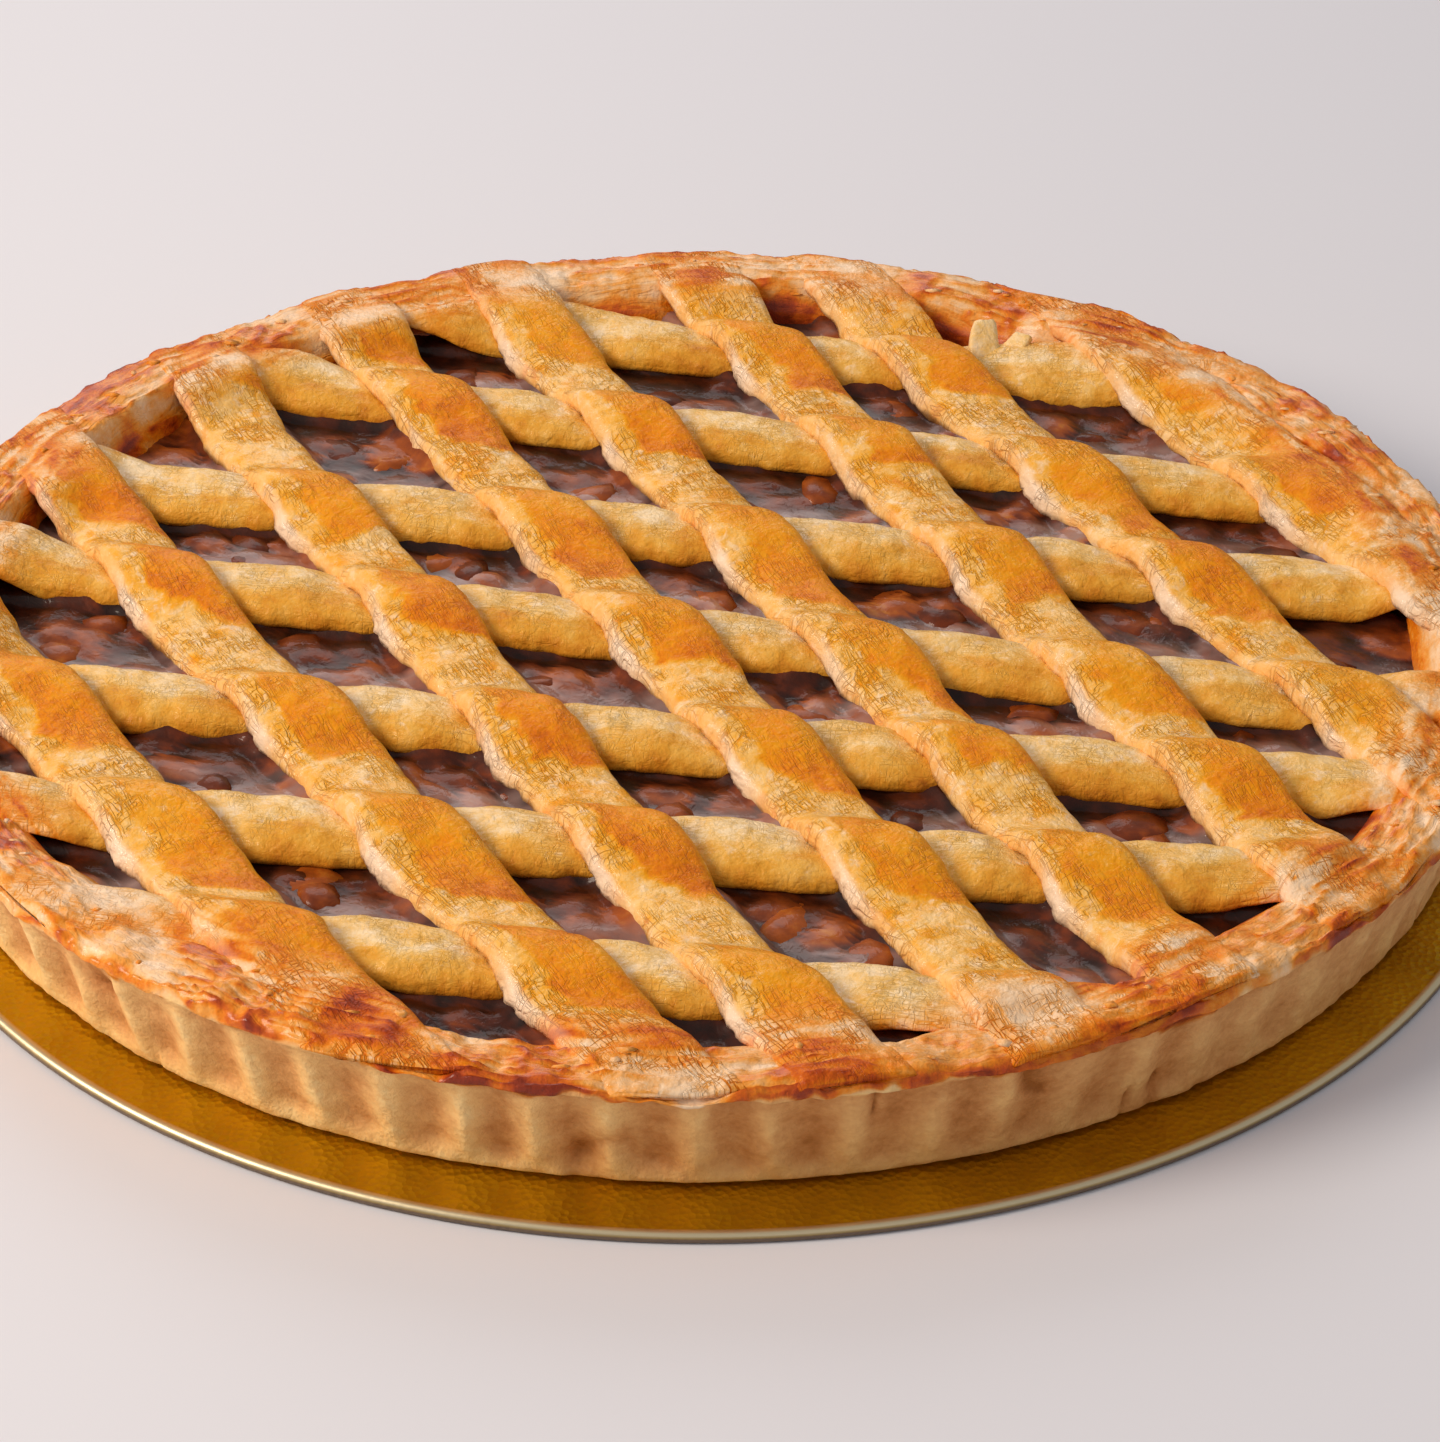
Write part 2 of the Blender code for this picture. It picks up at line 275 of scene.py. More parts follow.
def gridBmesh(columns, rows):
    # a flat grid that is bent into shape, with its own 0 to 1 coordinates as two arrays
    bm = bmesh.new()
    bmesh.ops.create_grid(bm, x_segments=columns, y_segments=rows, size=0.5)
    mesh = bpy.data.meshes.new("grid")
    bm.to_mesh(mesh)
    bm.free()
    flat = np.empty(len(mesh.vertices) * 3)
    mesh.vertices.foreach_get("co", flat)
    flat = flat.reshape(-1, 3) + 0.5
    return mesh, flat[:, 0], flat[:, 1]


def placeObject(bm, name, mesh=None, smoothed=True):
    # writes a finished bmesh to a mesh and links it to the scene as an object of this name
    mesh = mesh or bpy.data.meshes.new(name)
    mesh.name = name
    bm.to_mesh(mesh)
    bm.free()
    if smoothed:
        mesh.shade_smooth()
    piece = bpy.data.objects.new(name, mesh)
    bpy.context.scene.collection.objects.link(piece)
    return piece


def finishMesh(name, mesh, points, paint, closeEnds=True):
    # points are in mm about the pie's middle; paint holds one value a point for each attribute
    placed = (points + (*pie["centre"], 0.0)) * mm
    mesh.vertices.foreach_set("co", placed.astype(np.float32).ravel())
    for key, values in paint.items():
        values = np.asarray(values, np.float32)
        kind, field = ("FLOAT", "value") if values.ndim == 1 else ("FLOAT_VECTOR", "vector")
        layer = mesh.attributes.new(key, kind, "POINT")
        layer.data.foreach_set(field, values.ravel())
    bm = bmesh.new()
    bm.from_mesh(mesh)
    bmesh.ops.remove_doubles(bm, verts=bm.verts, dist=1e-6)
    if closeEnds:
        openEdges = [e for e in bm.edges if e.is_boundary]
        bmesh.ops.holes_fill(bm, edges=openEdges, sides=0)
    bmesh.ops.recalc_face_normals(bm, faces=bm.faces)
    piece = placeObject(bm, name, mesh)
    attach(piece, "root")
    return piece


def addNode(tree, kind, values=None, links=None, **settings):
    node = tree.nodes.new(kind)
    for key, value in settings.items():
        setattr(node, key, value)
    for key, value in (values or {}).items():
        node.inputs[key].default_value = value
    for key, source in (links or {}).items():
        tree.links.new(source, node.inputs[key])
    return node


foodShine = 0.15   # specular level of baked dough and cooked fruit, which are matt under their glaze


def newMaterial(name):
    made = bpy.data.materials.new(name)
    made.use_nodes = True
    tree = made.node_tree
    return made, tree, tree.nodes["Principled BSDF"]


def fillRamp(ramp, stops):
    ramp.elements.remove(ramp.elements[1])
    ramp.elements[0].position, ramp.elements[0].color = stops[0][0], hexColour(stops[0][1])
    for place, text in stops[1:]:
        ramp.elements.new(place).color = hexColour(text)


def addBlotches(tree, place, tone, blotches, detail):
    # noise of each size in mm, counted from its middle value, changes the tone by its amount
    for size, amount in blotches:
        noise = addNode(tree, "ShaderNodeTexNoise", {"Scale": 1000 / size, "Detail": detail},
                        {"Vector": place})
        centred = addNode(tree, "ShaderNodeMath", {1: 0.5}, {0: noise.outputs["Fac"]},
                          operation="SUBTRACT")
        tone = addNode(tree, "ShaderNodeMath", {1: amount},
                       {0: centred.outputs[0], 2: tone}, operation="MULTIPLY_ADD").outputs[0]
    return tone


# Baked short pastry under an egg wash and a clear glaze: golden where it took little colour,
# orange-brown on the humps, with a wet gloss that breaks up over the wrinkles; partly painted
# light, with pale slopes and edges as painted glare and folds painted darker as painted shade.
glazedLooks = {
    "upper": {
        "stops": ((0.0, "#FFDCA0"), (0.18, "#FAC468"), (0.32, "#F7B030"), (0.44, "#F4A208"),
                  (0.58, "#F09000"), (0.72, "#E07800"), (0.88, "#BE5802"), (1.0, "#8A3604")),
        "blotches": ((6.0, 0.26), (1.8, 0.36), (0.45, 0.16)),   # size in mm, and change of the browning
        "glaze": 0.45, "rough": 0.48, "coatRough": 0.10, "lines": 0.65, "foldTone": 0.22,
    },
    "lower": {
        "stops": ((0.0, "#FFE0AC"), (0.16, "#F8CA78"), (0.34, "#F2B850"), (0.50, "#E8A434"),
                  (0.66, "#D88C22"), (0.82, "#B26616"), (1.0, "#7C3A0C")),
        "blotches": ((5.0, 0.30), (1.8, 0.36), (0.45, 0.14)),
        "glaze": 0.34, "rough": 0.50, "coatRough": 0.12, "lines": 0.25, "foldTone": 0.08,
    },
}
skinFolds = {
    "sizes": ((1.8, 5.0, 0.030), (7.0, 0.9, 0.050)),   # mm along and across the strip, and width
    "places": (9.0, 0.42, 0.60),      # size of the places that hold folds, and where they begin
    "browned": (0.34, 0.50, 0.4),     # the browning over which they fade, and what is left of them
    "depth": 3.0, "rimTone": 0.1,
}
crumbFlecks = {
    "size": 3.2, "amount": 0.5, "edge": (0.54, 0.68),
    "browned": (0.30, 0.42),          # none shows where the wash browned
}
glazedBump = {"fine": 0.7, "skin": (2.4, 2.2), "strength": 0.72, "height": 0.28}   # mm
cutAndHighlightColour = "#FFE2C2"    # sides of the strips, unglazed dough, and partly a painted highlight on the left sides that face the lamp
fleckColour = "#FFE6C4"  # bare crumb where the skin has flaked
soakAndShadeColour = "#5E2C0C"    # pastry soaked by the syrup, partly painted shade at the strips' foot
rimColours = ((0.0, "#FFDCB4"), (0.20, "#FBC486"), (0.36, "#F6A646"), (0.52, "#EC850C"), (0.68, "#D46206"),
              (0.84, "#B04206"), (1.0, "#8A2C08"))


def addSkinFolds(tree, place, bake):
    # thin folds in the skin, mostly across the strip, where the dough shrank as it dried
    grain = addNode(tree, "ShaderNodeAttribute", attribute_name="grain").outputs["Vector"]
    folds = None
    for along, across, width in skinFolds["sizes"]:
        turned = addNode(tree, "ShaderNodeMapping", {"Scale": (1000 / along, 1000 / across, 1000)},
                         {"Vector": grain})
        skin = addNode(tree, "ShaderNodeTexNoise", {"Scale": 1.0, "Detail": 2.5, "Distortion": 0.6},
                       {"Vector": turned.outputs["Vector"]})
        off = addNode(tree, "ShaderNodeMath", {1: 0.5}, {0: skin.outputs["Fac"]}, operation="SUBTRACT")
        off = addNode(tree, "ShaderNodeMath", None, {0: off.outputs[0]}, operation="ABSOLUTE")
        fold = addNode(tree, "ShaderNodeMapRange", {"From Max": width, "To Min": 1.0, "To Max": 0.0},
                       {"Value": off.outputs[0]})
        folds = fold.outputs["Result"] if folds is None else addNode(
            tree, "ShaderNodeMath", None, {0: folds, 1: fold.outputs["Result"]},
            operation="MAXIMUM").outputs[0]
    size, low, high = skinFolds["places"]
    where = addNode(tree, "ShaderNodeTexNoise", {"Scale": 1000 / size, "Detail": 2.0}, {"Vector": place})
    where = addNode(tree, "ShaderNodeMapRange", {"From Min": low, "From Max": high},
                    {"Value": where.outputs["Fac"]})
    low, high, left = skinFolds["browned"]
    smoother = addNode(tree, "ShaderNodeMapRange", {"From Min": low, "From Max": high, "To Min": 1.0,
                       "To Max": left}, {"Value": bake})
    for share in (where, smoother):
        folds = addNode(tree, "ShaderNodeMath", None, {0: folds, 1: share.outputs["Result"]},
                        operation="MULTIPLY").outputs[0]
    return folds


def addCrumbFlecks(tree, place, bake, skinTone):
    # bare crumb where the skin has flaked off
    low, high = crumbFlecks["edge"]
    flecks = addNode(tree, "ShaderNodeTexNoise", {"Scale": 1000 / crumbFlecks["size"], "Detail": 4.0,
                     "Roughness": 0.6, "Distortion": 0.8}, {"Vector": place})
    flecks = addNode(tree, "ShaderNodeMapRange", {"From Min": low, "From Max": high,
                     "To Max": crumbFlecks["amount"]}, {"Value": flecks.outputs["Fac"]})
    low, high = crumbFlecks["browned"]
    plain = addNode(tree, "ShaderNodeMapRange", {"From Min": low, "From Max": high, "To Min": 1.0,
                    "To Max": 0.0}, {"Value": bake})
    flecks = addNode(tree, "ShaderNodeMath", None,
                     {0: flecks.outputs["Result"], 1: plain.outputs["Result"]}, operation="MULTIPLY")
    return addNode(tree, "ShaderNodeMix", {"B": hexColour(fleckColour)},
                   {"Factor": flecks.outputs[0], "A": skinTone}, data_type="RGBA").outputs["Result"]


def glazedPastry(name, look):
    made, tree, shader = newMaterial(name)
    place = addNode(tree, "ShaderNodeTexCoord").outputs["Object"]
    bake = addNode(tree, "ShaderNodeAttribute", attribute_name="bake").outputs["Fac"]
    bake = addBlotches(tree, place, bake, look["blotches"], 3.0)
    folds = addSkinFolds(tree, place, bake)
    rimPart = addNode(tree, "ShaderNodeAttribute", attribute_name="rim").outputs["Fac"]
    # painted shade: the folds are coloured darker, more so on the rim, as the shade in their creases
    creaseShade = addNode(tree, "ShaderNodeMapRange", {"To Min": look["foldTone"],
                     "To Max": look["foldTone"] + skinFolds["rimTone"]}, {"Value": rimPart})
    bake = addNode(tree, "ShaderNodeMath", None, {0: folds, 1: creaseShade.outputs["Result"], 2: bake},
                   operation="MULTIPLY_ADD").outputs[0]
    ramp = addNode(tree, "ShaderNodeValToRGB", links={"Fac": bake})
    fillRamp(ramp.color_ramp, look["stops"])
    rimRamp = addNode(tree, "ShaderNodeValToRGB", links={"Fac": bake})
    fillRamp(rimRamp.color_ramp, rimColours)
    skinTone = addNode(tree, "ShaderNodeMix", None,
                       {"Factor": rimPart, "A": ramp.outputs["Color"], "B": rimRamp.outputs["Color"]},
                       data_type="RGBA")
    fleck = addCrumbFlecks(tree, place, bake, skinTone.outputs["Result"])
    cutAndHighlight = addNode(tree, "ShaderNodeAttribute", attribute_name="cutAndHighlight").outputs["Fac"]
    wetAndShade = addNode(tree, "ShaderNodeAttribute", attribute_name="wetAndShade").outputs["Fac"]
    pale = addNode(tree, "ShaderNodeMix", {"B": hexColour(cutAndHighlightColour)},
                   {"Factor": cutAndHighlight, "A": fleck}, data_type="RGBA")
    soakedAndShaded = addNode(tree, "ShaderNodeMix", {"B": hexColour(soakAndShadeColour)},
                     {"Factor": wetAndShade, "A": pale.outputs["Result"]}, data_type="RGBA")
    tree.links.new(soakedAndShaded.outputs["Result"], shader.inputs["Base Color"])

    # the glaze sank in where the pastry browned most
    coat = addNode(tree, "ShaderNodeMapRange",
                   {"From Min": 0.25, "From Max": 0.5, "To Min": look["glaze"],
                    "To Max": look["glaze"] * 0.2}, {"Value": bake})
    tree.links.new(coat.outputs["Result"], shader.inputs["Coat Weight"])
    shader.inputs["Roughness"].default_value = look["rough"]
    shader.inputs["Specular IOR Level"].default_value = foodShine
    shader.inputs["Coat Roughness"].default_value = look["coatRough"]

    fine = addNode(tree, "ShaderNodeTexNoise", {"Scale": 1000 / glazedBump["fine"], "Detail": 4.0},
                   {"Vector": place})
    size, share = glazedBump["skin"]
    skin = addNode(tree, "ShaderNodeTexNoise", {"Scale": 1000 / size, "Detail": 3.0,
                   "Distortion": 0.8}, {"Vector": place})
    both = addNode(tree, "ShaderNodeMath", {1: share},
                   {0: skin.outputs["Fac"], 2: fine.outputs["Fac"]}, operation="MULTIPLY_ADD")
    raised = addNode(tree, "ShaderNodeMath", {1: -look["lines"] * skinFolds["depth"]},
                     {0: folds, 2: both.outputs[0]}, operation="MULTIPLY_ADD")
    bump = addNode(tree, "ShaderNodeBump", {"Strength": glazedBump["strength"],
                   "Distance": glazedBump["height"] * mm}, {"Height": raised.outputs[0]})
    for socket in ("Normal", "Coat Normal"):
        tree.links.new(bump.outputs["Normal"], shader.inputs[socket])
    return made


def chordEnds(strip, aside):
    # where lines beside a strip's middle line leave the pie, counted along the strip
    side = np.array((-strip["along"][1], strip["along"][0]))
    start = strip["point"] + side * aside[:, None]
    middle = -start @ strip["along"]
    foot = start + strip["along"] * middle[:, None]
    half = np.sqrt(pie["endRadius"] ** 2 - (foot ** 2).sum(axis=1))
    return start, side, middle - half, middle + half


def stripShape(strip, family, seed):
    # the strip's rings run from its left edge over the top to its right edge and back beneath
    reach = 2 * math.sqrt(pie["endRadius"] ** 2 - float(offLine(strip, np.zeros((1, 2)))[0]) ** 2)
    mesh, lengthwise, round_ = gridBmesh(int(reach / meshStep), family["pointsAround"])
    topShare = 0.84
    angle = np.pi * (1 - np.clip(round_ / topShare, 0, 1))
    power = 2 / family["squareness"]
    sideways = np.sign(np.cos(angle)) * np.abs(np.cos(angle)) ** power
    height = np.abs(np.sin(angle)) ** power
    beneath = round_ > topShare
    sideways = np.where(beneath, 1 - 2 * (round_ - topShare) / (1 - topShare), sideways)
    height = np.where(beneath, 0, height)
    height[round_ == 0] = 0

    start, side, low, high = chordEnds(strip, sideways * strip["width"] / 2)
    run = mix(low, high, lengthwise)
    xy = start + strip["along"] * run[:, None]
    level = np.column_stack((run, np.full(len(run), seed * 31.0), np.zeros(len(run))))
    edgeKey = level + np.column_stack((np.zeros((len(run), 2)), np.sign(sideways) * 77.0))
    drift = family["wobble"] * lumps(level, 42, seed)
    ragged = family["edge"] * layered(edgeKey, 9, seed + 5) * np.abs(sideways) ** 3
    flare = 0.10 * onRim(xy) * sideways * strip["width"] / 2
    xy += side * (drift + ragged * np.sign(sideways) + flare)[:, None]
    grain = np.column_stack((run, sideways * strip["width"] / 2, np.full(len(run), seed * 3.0)))
    return mesh, xy, sideways, height, run, side, grain * mm


def wrinkled(xy, run, sideways, strip, family, seed):
    # relief of the top face in mm: lumps, folds across the strip and small blisters
    flat = withHeight(xy, seed * 13.0)
    offset = sideways * strip["width"]
    across = np.column_stack((run / 1.7, offset / 7.0, np.full(len(run), seed)))
    alongWay = np.column_stack((run / 9.0, offset / 2.2, np.full(len(run), seed)))
    acrossPlaces = smooth(-0.2, 0.5, lumps(flat, 12, seed + 9))
    alongPlaces = smooth(0.0, 0.5, lumps(flat, 14, seed + 8))
    relief = bumpy(flat, family["lumps"], seed)
    relief += family["wrinkles"] * creases(across, 1.0, seed + 1) * acrossPlaces
    relief += family["wrinkles"] * 0.8 * creases(alongWay, 1.0, seed + 2) * alongPlaces
    return relief + 0.16 * layered(flat, 3.2, seed + 3) + 0.04 * lumps(flat, 1.1, seed + 6)


def makeUpper(number, strip):
    family = upperStrips
    seed = 100 + number
    mesh, xy, sideways, height, run, side, grain = stripShape(strip, family, seed)
    climb, onEnd = onRim(xy), smooth(*rim["melt"], fromMiddle(xy))
    over = humpOver(lowers, xy, family["humpBack"], family["humpFront"])
    lift = family["lift"] * mix(1.0, family["rimHump"], climb) * over
    base = mix(pie["stripBase"], rimSeat(xy), climb) + lift - family["sag"] * (1 - over) * (1 - climb)
    thick = mix(family["thickness"], family["endThickness"], climb)
    z = base + height * thick + wrinkled(xy, run, sideways, strip, family, seed) * height ** 2
    z = belowTop(mix(z, rimTop(xy) + rim["step"] * (height - 0.45), onEnd))
    flat, solid = withHeight(xy, 3.0), withHeight(xy, z)
    drop = inFrontOf(lowers, xy)
    # the side torn open beside each crossing, where it stretched over the hump
    tearPlace, tearReach, tearBulge = family["torn"]
    bare = np.exp(-((drop - tearPlace) / tearReach) ** 2) * smooth(-0.6, 0.0, lumps(flat, 16, seed + 23))
    bare *= 1 - onEnd
    bulge = 0.35 * layered(solid, 3.0, seed + 4) * (1 - height) * np.sign(sideways)
    bulge += bare * smooth(0.5, 0.9, sideways) * (tearBulge + 0.6 * layered(solid, 2.2, seed + 7))
    xy = xy + side * bulge[:, None]

    # the wash browned from each crossing down the near side of its hump; keeping the browning to the near
    # side, with the far slopes left pale, is partly painted light: the pale stands in for glare on slopes
    # turned up and back
    drop = drop + 2.0 * layered(flat, 5, seed + 20)
    patchReach, patchDrift = family["patch"]
    reach = patchReach + patchDrift * lumps(flat, 27, seed + 26)
    patch = smooth(-7.0, -5.2, drop) * (1 - smooth(-1.2, 1.2, drop - reach))
    downhill, uneven = family["deeper"]
    deeper = downhill * smooth(0.0, 1.0, drop / reach) + uneven * lumps(flat, 25, seed + 24)
    # painted highlight: the left shoulder, facing the lamp, and the right edge are kept pale, standing in
    # for the glaze's sheen there
    leftShoulderHighlight = smooth(0.40, 0.58, sideways + 0.34 * layered(flat, 6, seed + 25))
    rightEdgeSheen = smooth(0.82, 1.0, -sideways)
    spots = smooth(0.25, 0.45, layered(flat, 5.5, seed + 27)) * (1 - patch)
    browned = (family["browned"] + deeper) * patch * (1 - 0.9 * leftShoulderHighlight) * (1 - 0.6 * rightEdgeSheen)
    bake = family["plain"] + family["spots"] * spots + browned
    bake += family["mottle"] * layered(flat, 5, seed + 21) * (1 - 0.6 * patch)
    tinted = smooth(*rim["tint"], fromMiddle(xy))
    bake = mix(bake, rimBake(xy), tinted)
    # the raw left side beside each crossing: partly real cut dough, partly a painted highlight where it
    # faces the lamp
    cutAndHighlight = smooth(0.78, 0.92, sideways) * (1 - smooth(0.90, 0.99, height)) * (0.2 + 0.8 * bare) * (1 - onEnd)
    # darker towards the syrup: partly real soaking, partly painted shade where the strip meets the syrup
    low, high, strength = family["stainAndShade"]
    soakAndShadeLevel = z + 0.5 * lumps(flat, 3, seed)
    wetAndShade = (1 - smooth(low, high, soakAndShadeLevel)) * strength * (1 - climb) * (1 - 0.5 * bare)
    piece = finishMesh(f"upper_lattice_{number}", mesh, withHeight(xy, z),
                       {"bake": bake, "cutAndHighlight": cutAndHighlight, "wetAndShade": wetAndShade, "rim": tinted, "grain": grain})
    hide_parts(f"upper_strip_{number}")
    return piece


def makeLower(number, strip):
    family = lowerStrips
    seed = 200 + number
    mesh, xy, sideways, height, run, side, grain = stripShape(strip, family, seed)
    climb, onEnd = onRim(xy), smooth(*rim["melt"], fromMiddle(xy))
    squeezed = humpOver(uppers, xy, family["pressReach"], family["pressReach"])
    base = mix(pie["stripBase"], rimSeat(xy), climb) - family["sunk"]
    thick = mix(mix(family["thickness"], family["pressed"], squeezed), family["endThickness"], climb)
    z = base + height * thick + wrinkled(xy, run, sideways, strip, family, seed) * height ** 2
    z = belowTop(mix(z, rimTop(xy) + rim["step"] * (0.8 * height - 0.55), onEnd))
    bulge = family["bulge"] * (1 - squeezed) * (1 - climb) + 0.3 * layered(withHeight(xy, z), 3.0, seed + 4)
    xy = xy + side * (bulge * np.sign(sideways) * np.abs(sideways) ** 2)[:, None]

    flat = withHeight(xy, 5.0)
    bake = family["plain"] + family["blotch"] * layered(flat, 8, seed + 20)
    bake += family["mottle"] * layered(flat, 3, seed + 21)
    # the near half browner and the back half paler: partly real browning, partly painted light, the pale
    # back standing in for glare; the low flanks are painted darker as painted shade
    bake += family["nearSideBakeAndShade"] * smooth(0.05, 0.45, sideways + 0.4 * layered(flat, 7, seed + 22))
    bake += family["shadedFlanks"] * (1 - smooth(0.3, 0.9, height))
    tinted = smooth(*rim["tint"], fromMiddle(xy))
    bake = mix(bake, rimBake(xy), tinted)
    # darker towards the syrup and more on the near side: partly real soaking, partly painted shade on the
    # shaded front foot
    low, high, strength = family["stainAndShade"]
    soakAndShadeLevel = z + 0.6 * lumps(flat, 3, seed) - 0.7 * smooth(0.3, 0.9, sideways)
    wetAndShade = (1 - smooth(low, high, soakAndShadeLevel)) * strength * (1 - climb)
    piece = finishMesh(f"lower_lattice_{number}", mesh, withHeight(xy, z),
                       {"bake": bake, "cutAndHighlight": np.zeros(len(z)), "wetAndShade": wetAndShade, "rim": tinted, "grain": grain})
    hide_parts(f"lower_strip_{number}")
    return piece


upperMaterial = glazedPastry("glazed pastry, well browned", glazedLooks["upper"])
lowerMaterial = glazedPastry("glazed pastry, pale golden", glazedLooks["lower"])
lowerPieces = [makeLower(number, strip) for number, strip in enumerate(lowers, 1)]
upperPieces = [makeUpper(number, strip) for number, strip in enumerate(uppers, 1)]
for piece in lowerPieces:
    piece.data.materials.append(lowerMaterial)
for piece in upperPieces:
    piece.data.materials.append(upperMaterial)
print("lattice made:", len(lowers), "lower and", len(uppers), "upper strips")


# The case: a fluted wall as the tin left it, and a rim pinched and trimmed by hand.
case = {
    "columns": 1440,
    "flutes": 72, "fluteDepth": (0.7, 2.1),
    "strongSide": 218.0,   # degrees round the pie, the side where the flutes are deepest
    "section": ((0, 2.3), (144.6, 2.3), (145.4, 3.0), (150.9, 22.4), (152.1, 23.8),
                *rim["profile"][::-1], (135.0, 5.9), (0, 5.9)),
    "rows": (1, 1, 22, 4, 3, 5, 9, 7, 5, 3, 1, 1),
    "fluteRound": 0.75, "crackDepth": 1.3, "underStrips": 1.0, "widest": 151.8,
    # size across and height of the lumps on the wall, the lip, the wash's edge and the inner edge
    "wallLumps": (9.0, 0.5), "wallGrain": (2.4, 0.24), "lipRise": (6.0, 1.3), "lipFray": (4.0, 0.6),
    "washEdge": ((6.0, 1.8), (2.4, 0.8)), "innerEdge": (16.0, 2.2),
    "shadedSideAngle": 325.0,   # degrees round the pie, the side away from the lamps, whose wall is painted browner as painted shade
    "tones": {"wall": 0.05, "lip": 0.28, "inside": 0.40, "wallTop": 0.10, "wallBlotch": 0.09,
              "shadedSide": 0.22},
}


def sectionPlace(share):
    # walks the section: share is a row's own 0 to 1 place in the grid
    rows = np.cumsum((0, *case["rows"]))
    at = np.round(share * rows[-1], 6)
    radius = np.interp(at, rows, [p[0] for p in case["section"]])
    height = np.interp(at, rows, [p[1] for p in case["section"]])
    return radius, height


def makeCase():
    mesh, turn, share = gridBmesh(case["columns"], sum(case["rows"]))
    radius, z = sectionPlace(share)
    angle = turn * 2 * np.pi
    round_ = np.column_stack((np.cos(angle), np.sin(angle)))
    spot = np.column_stack((round_ * radius[:, None], z))
    ring = withHeight(round_ * rim["ring"], z * 0.6)

    xy = round_ * radius[:, None]
    ragged = sum(bumpy(ring, shape, 17 + n, lumps) for n, shape in enumerate(case["washEdge"]))
    wall = smooth(144.0, 145.3, radius) * (1 - smooth(22.5, 24.0, z))
    top = smooth(22.6, 23.8, z + ragged) * smooth(134.5, 136.5, radius)
    crest = smooth(23.0, 25.5, z)
    side = 0.5 + 0.5 * np.cos(angle - math.radians(case["strongSide"]))
    depth = mix(*case["fluteDepth"], smooth(0.35, 0.9, side + 0.25 * lumps(ring, 40, 1)))
    bent = angle + 0.010 * lumps(ring, 14, 2)
    hollow = (0.5 - 0.5 * np.cos(bent * case["flutes"])) ** case["fluteRound"]
    hollow *= smooth(2.5, 8.0, z) * (1 - 0.4 * smooth(16, 22, z))
    out = -wall * depth * hollow
    out += wall * bumpy(ring * (1, 1, 1.6), case["wallLumps"], 3)
    out += wall * bumpy(spot, case["wallGrain"], 4)
    cracks = creases(ring * (1, 1, 0.7) + 2.0 * lumps(ring, 9, 14)[:, None], 11, 6) ** 3
    cracks *= smooth(0.05, 0.35, lumps(ring, 15, 5))
    out -= wall * case["crackDepth"] * cracks

    # the rim: crags, folds that run round it, and a ragged lip over the wall
    covered = 1 - smooth(-3.0, -0.5, np.minimum(pastEdge(uppers, xy), pastEdge(lowers, xy)))
    lip = smooth(150.0, 151.8, radius) * smooth(22.2, 24.4, z)
    inside = 1 - smooth(137.6, 139.2, radius)
    z = z + crest * (rimRelief(xy) - case["underStrips"] * covered)
    z += lip * bumpy(ring, case["lipRise"], 11)
    z = np.where(crest > 0, belowTop(z), z)
    out += lip * (bumpy(ring, case["lipFray"], 12) - 0.3)
    edge = (1 - smooth(136.0, 144.0, radius)) * smooth(134.9, 136.0, radius)
    out += edge * bumpy(ring, case["innerEdge"], 13, lumps)
    radius = np.minimum(radius + out, case["widest"])
    points = withHeight(round_ * radius[:, None], z)

    tones = case["tones"]
    top = np.maximum(top, inside)
    bake = mix(tones["wall"], rimBake(xy), top) + tones["lip"] * lip * smooth(-0.4, 0.4, lumps(ring, 5, 22))
    # painted shade: the inner side of the rim is coloured darker the lower it goes towards the filling
    bake += tones["inside"] * inside * (1 - smooth(22.0, 25.5, z))
    bake += tones["wallTop"] * wall * smooth(17, 23, z) + tones["wallBlotch"] * wall * layered(ring, 6, 23)
    # painted shade: the wall on the side away from the lamps is coloured deeper brown
    shadedSide = smooth(0.3, 0.9, np.cos(angle - math.radians(case["shadedSideAngle"])))
    bake += tones["shadedSide"] * wall * shadedSide
    # painted shade: darker in the flute hollows, most where the flutes are deepest, and in the cracks
    grooveShade = wall * (0.75 * hollow * smooth(0.35, 0.9, side) + 0.25 * hollow + 0.7 * cracks)
    grain = withHeight(round_ * rim["ring"], radius + 0.3 * z)
    piece = finishMesh("fluted_case", mesh, points, {"bake": bake, "top": top, "grooveShade": grooveShade,
                       "grain": grain * mm}, closeEnds=False)
    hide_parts("pastry_case")
    return piece


# Dry short pastry: a pale, matt, sandy wall, and a rim that the oven and the egg wash took
# to orange and red-brown.
caseLook = {
    "wall": ((0.0, "#FAD494"), (0.22, "#F6C480"), (0.5, "#E2A668"), (0.75, "#CA884E"), (1.0, "#A4642E")),
    "blotches": ((5.0, 0.30), (1.8, 0.30), (0.8, 0.16)),
    "leaves": (7.0, 1.5, 0.45),    # length and width of the flaked leaves, and their contrast
    "leafHeight": 2.5, "grooveShade": 0.38, "paleShare": 0.7,
    "rough": 0.62, "gloss": 0.45, "glossRough": 0.2,
    "fine": 0.6, "pits": (1.6, 0.6), "strength": 0.8, "height": 0.3,   # relief, in mm
}


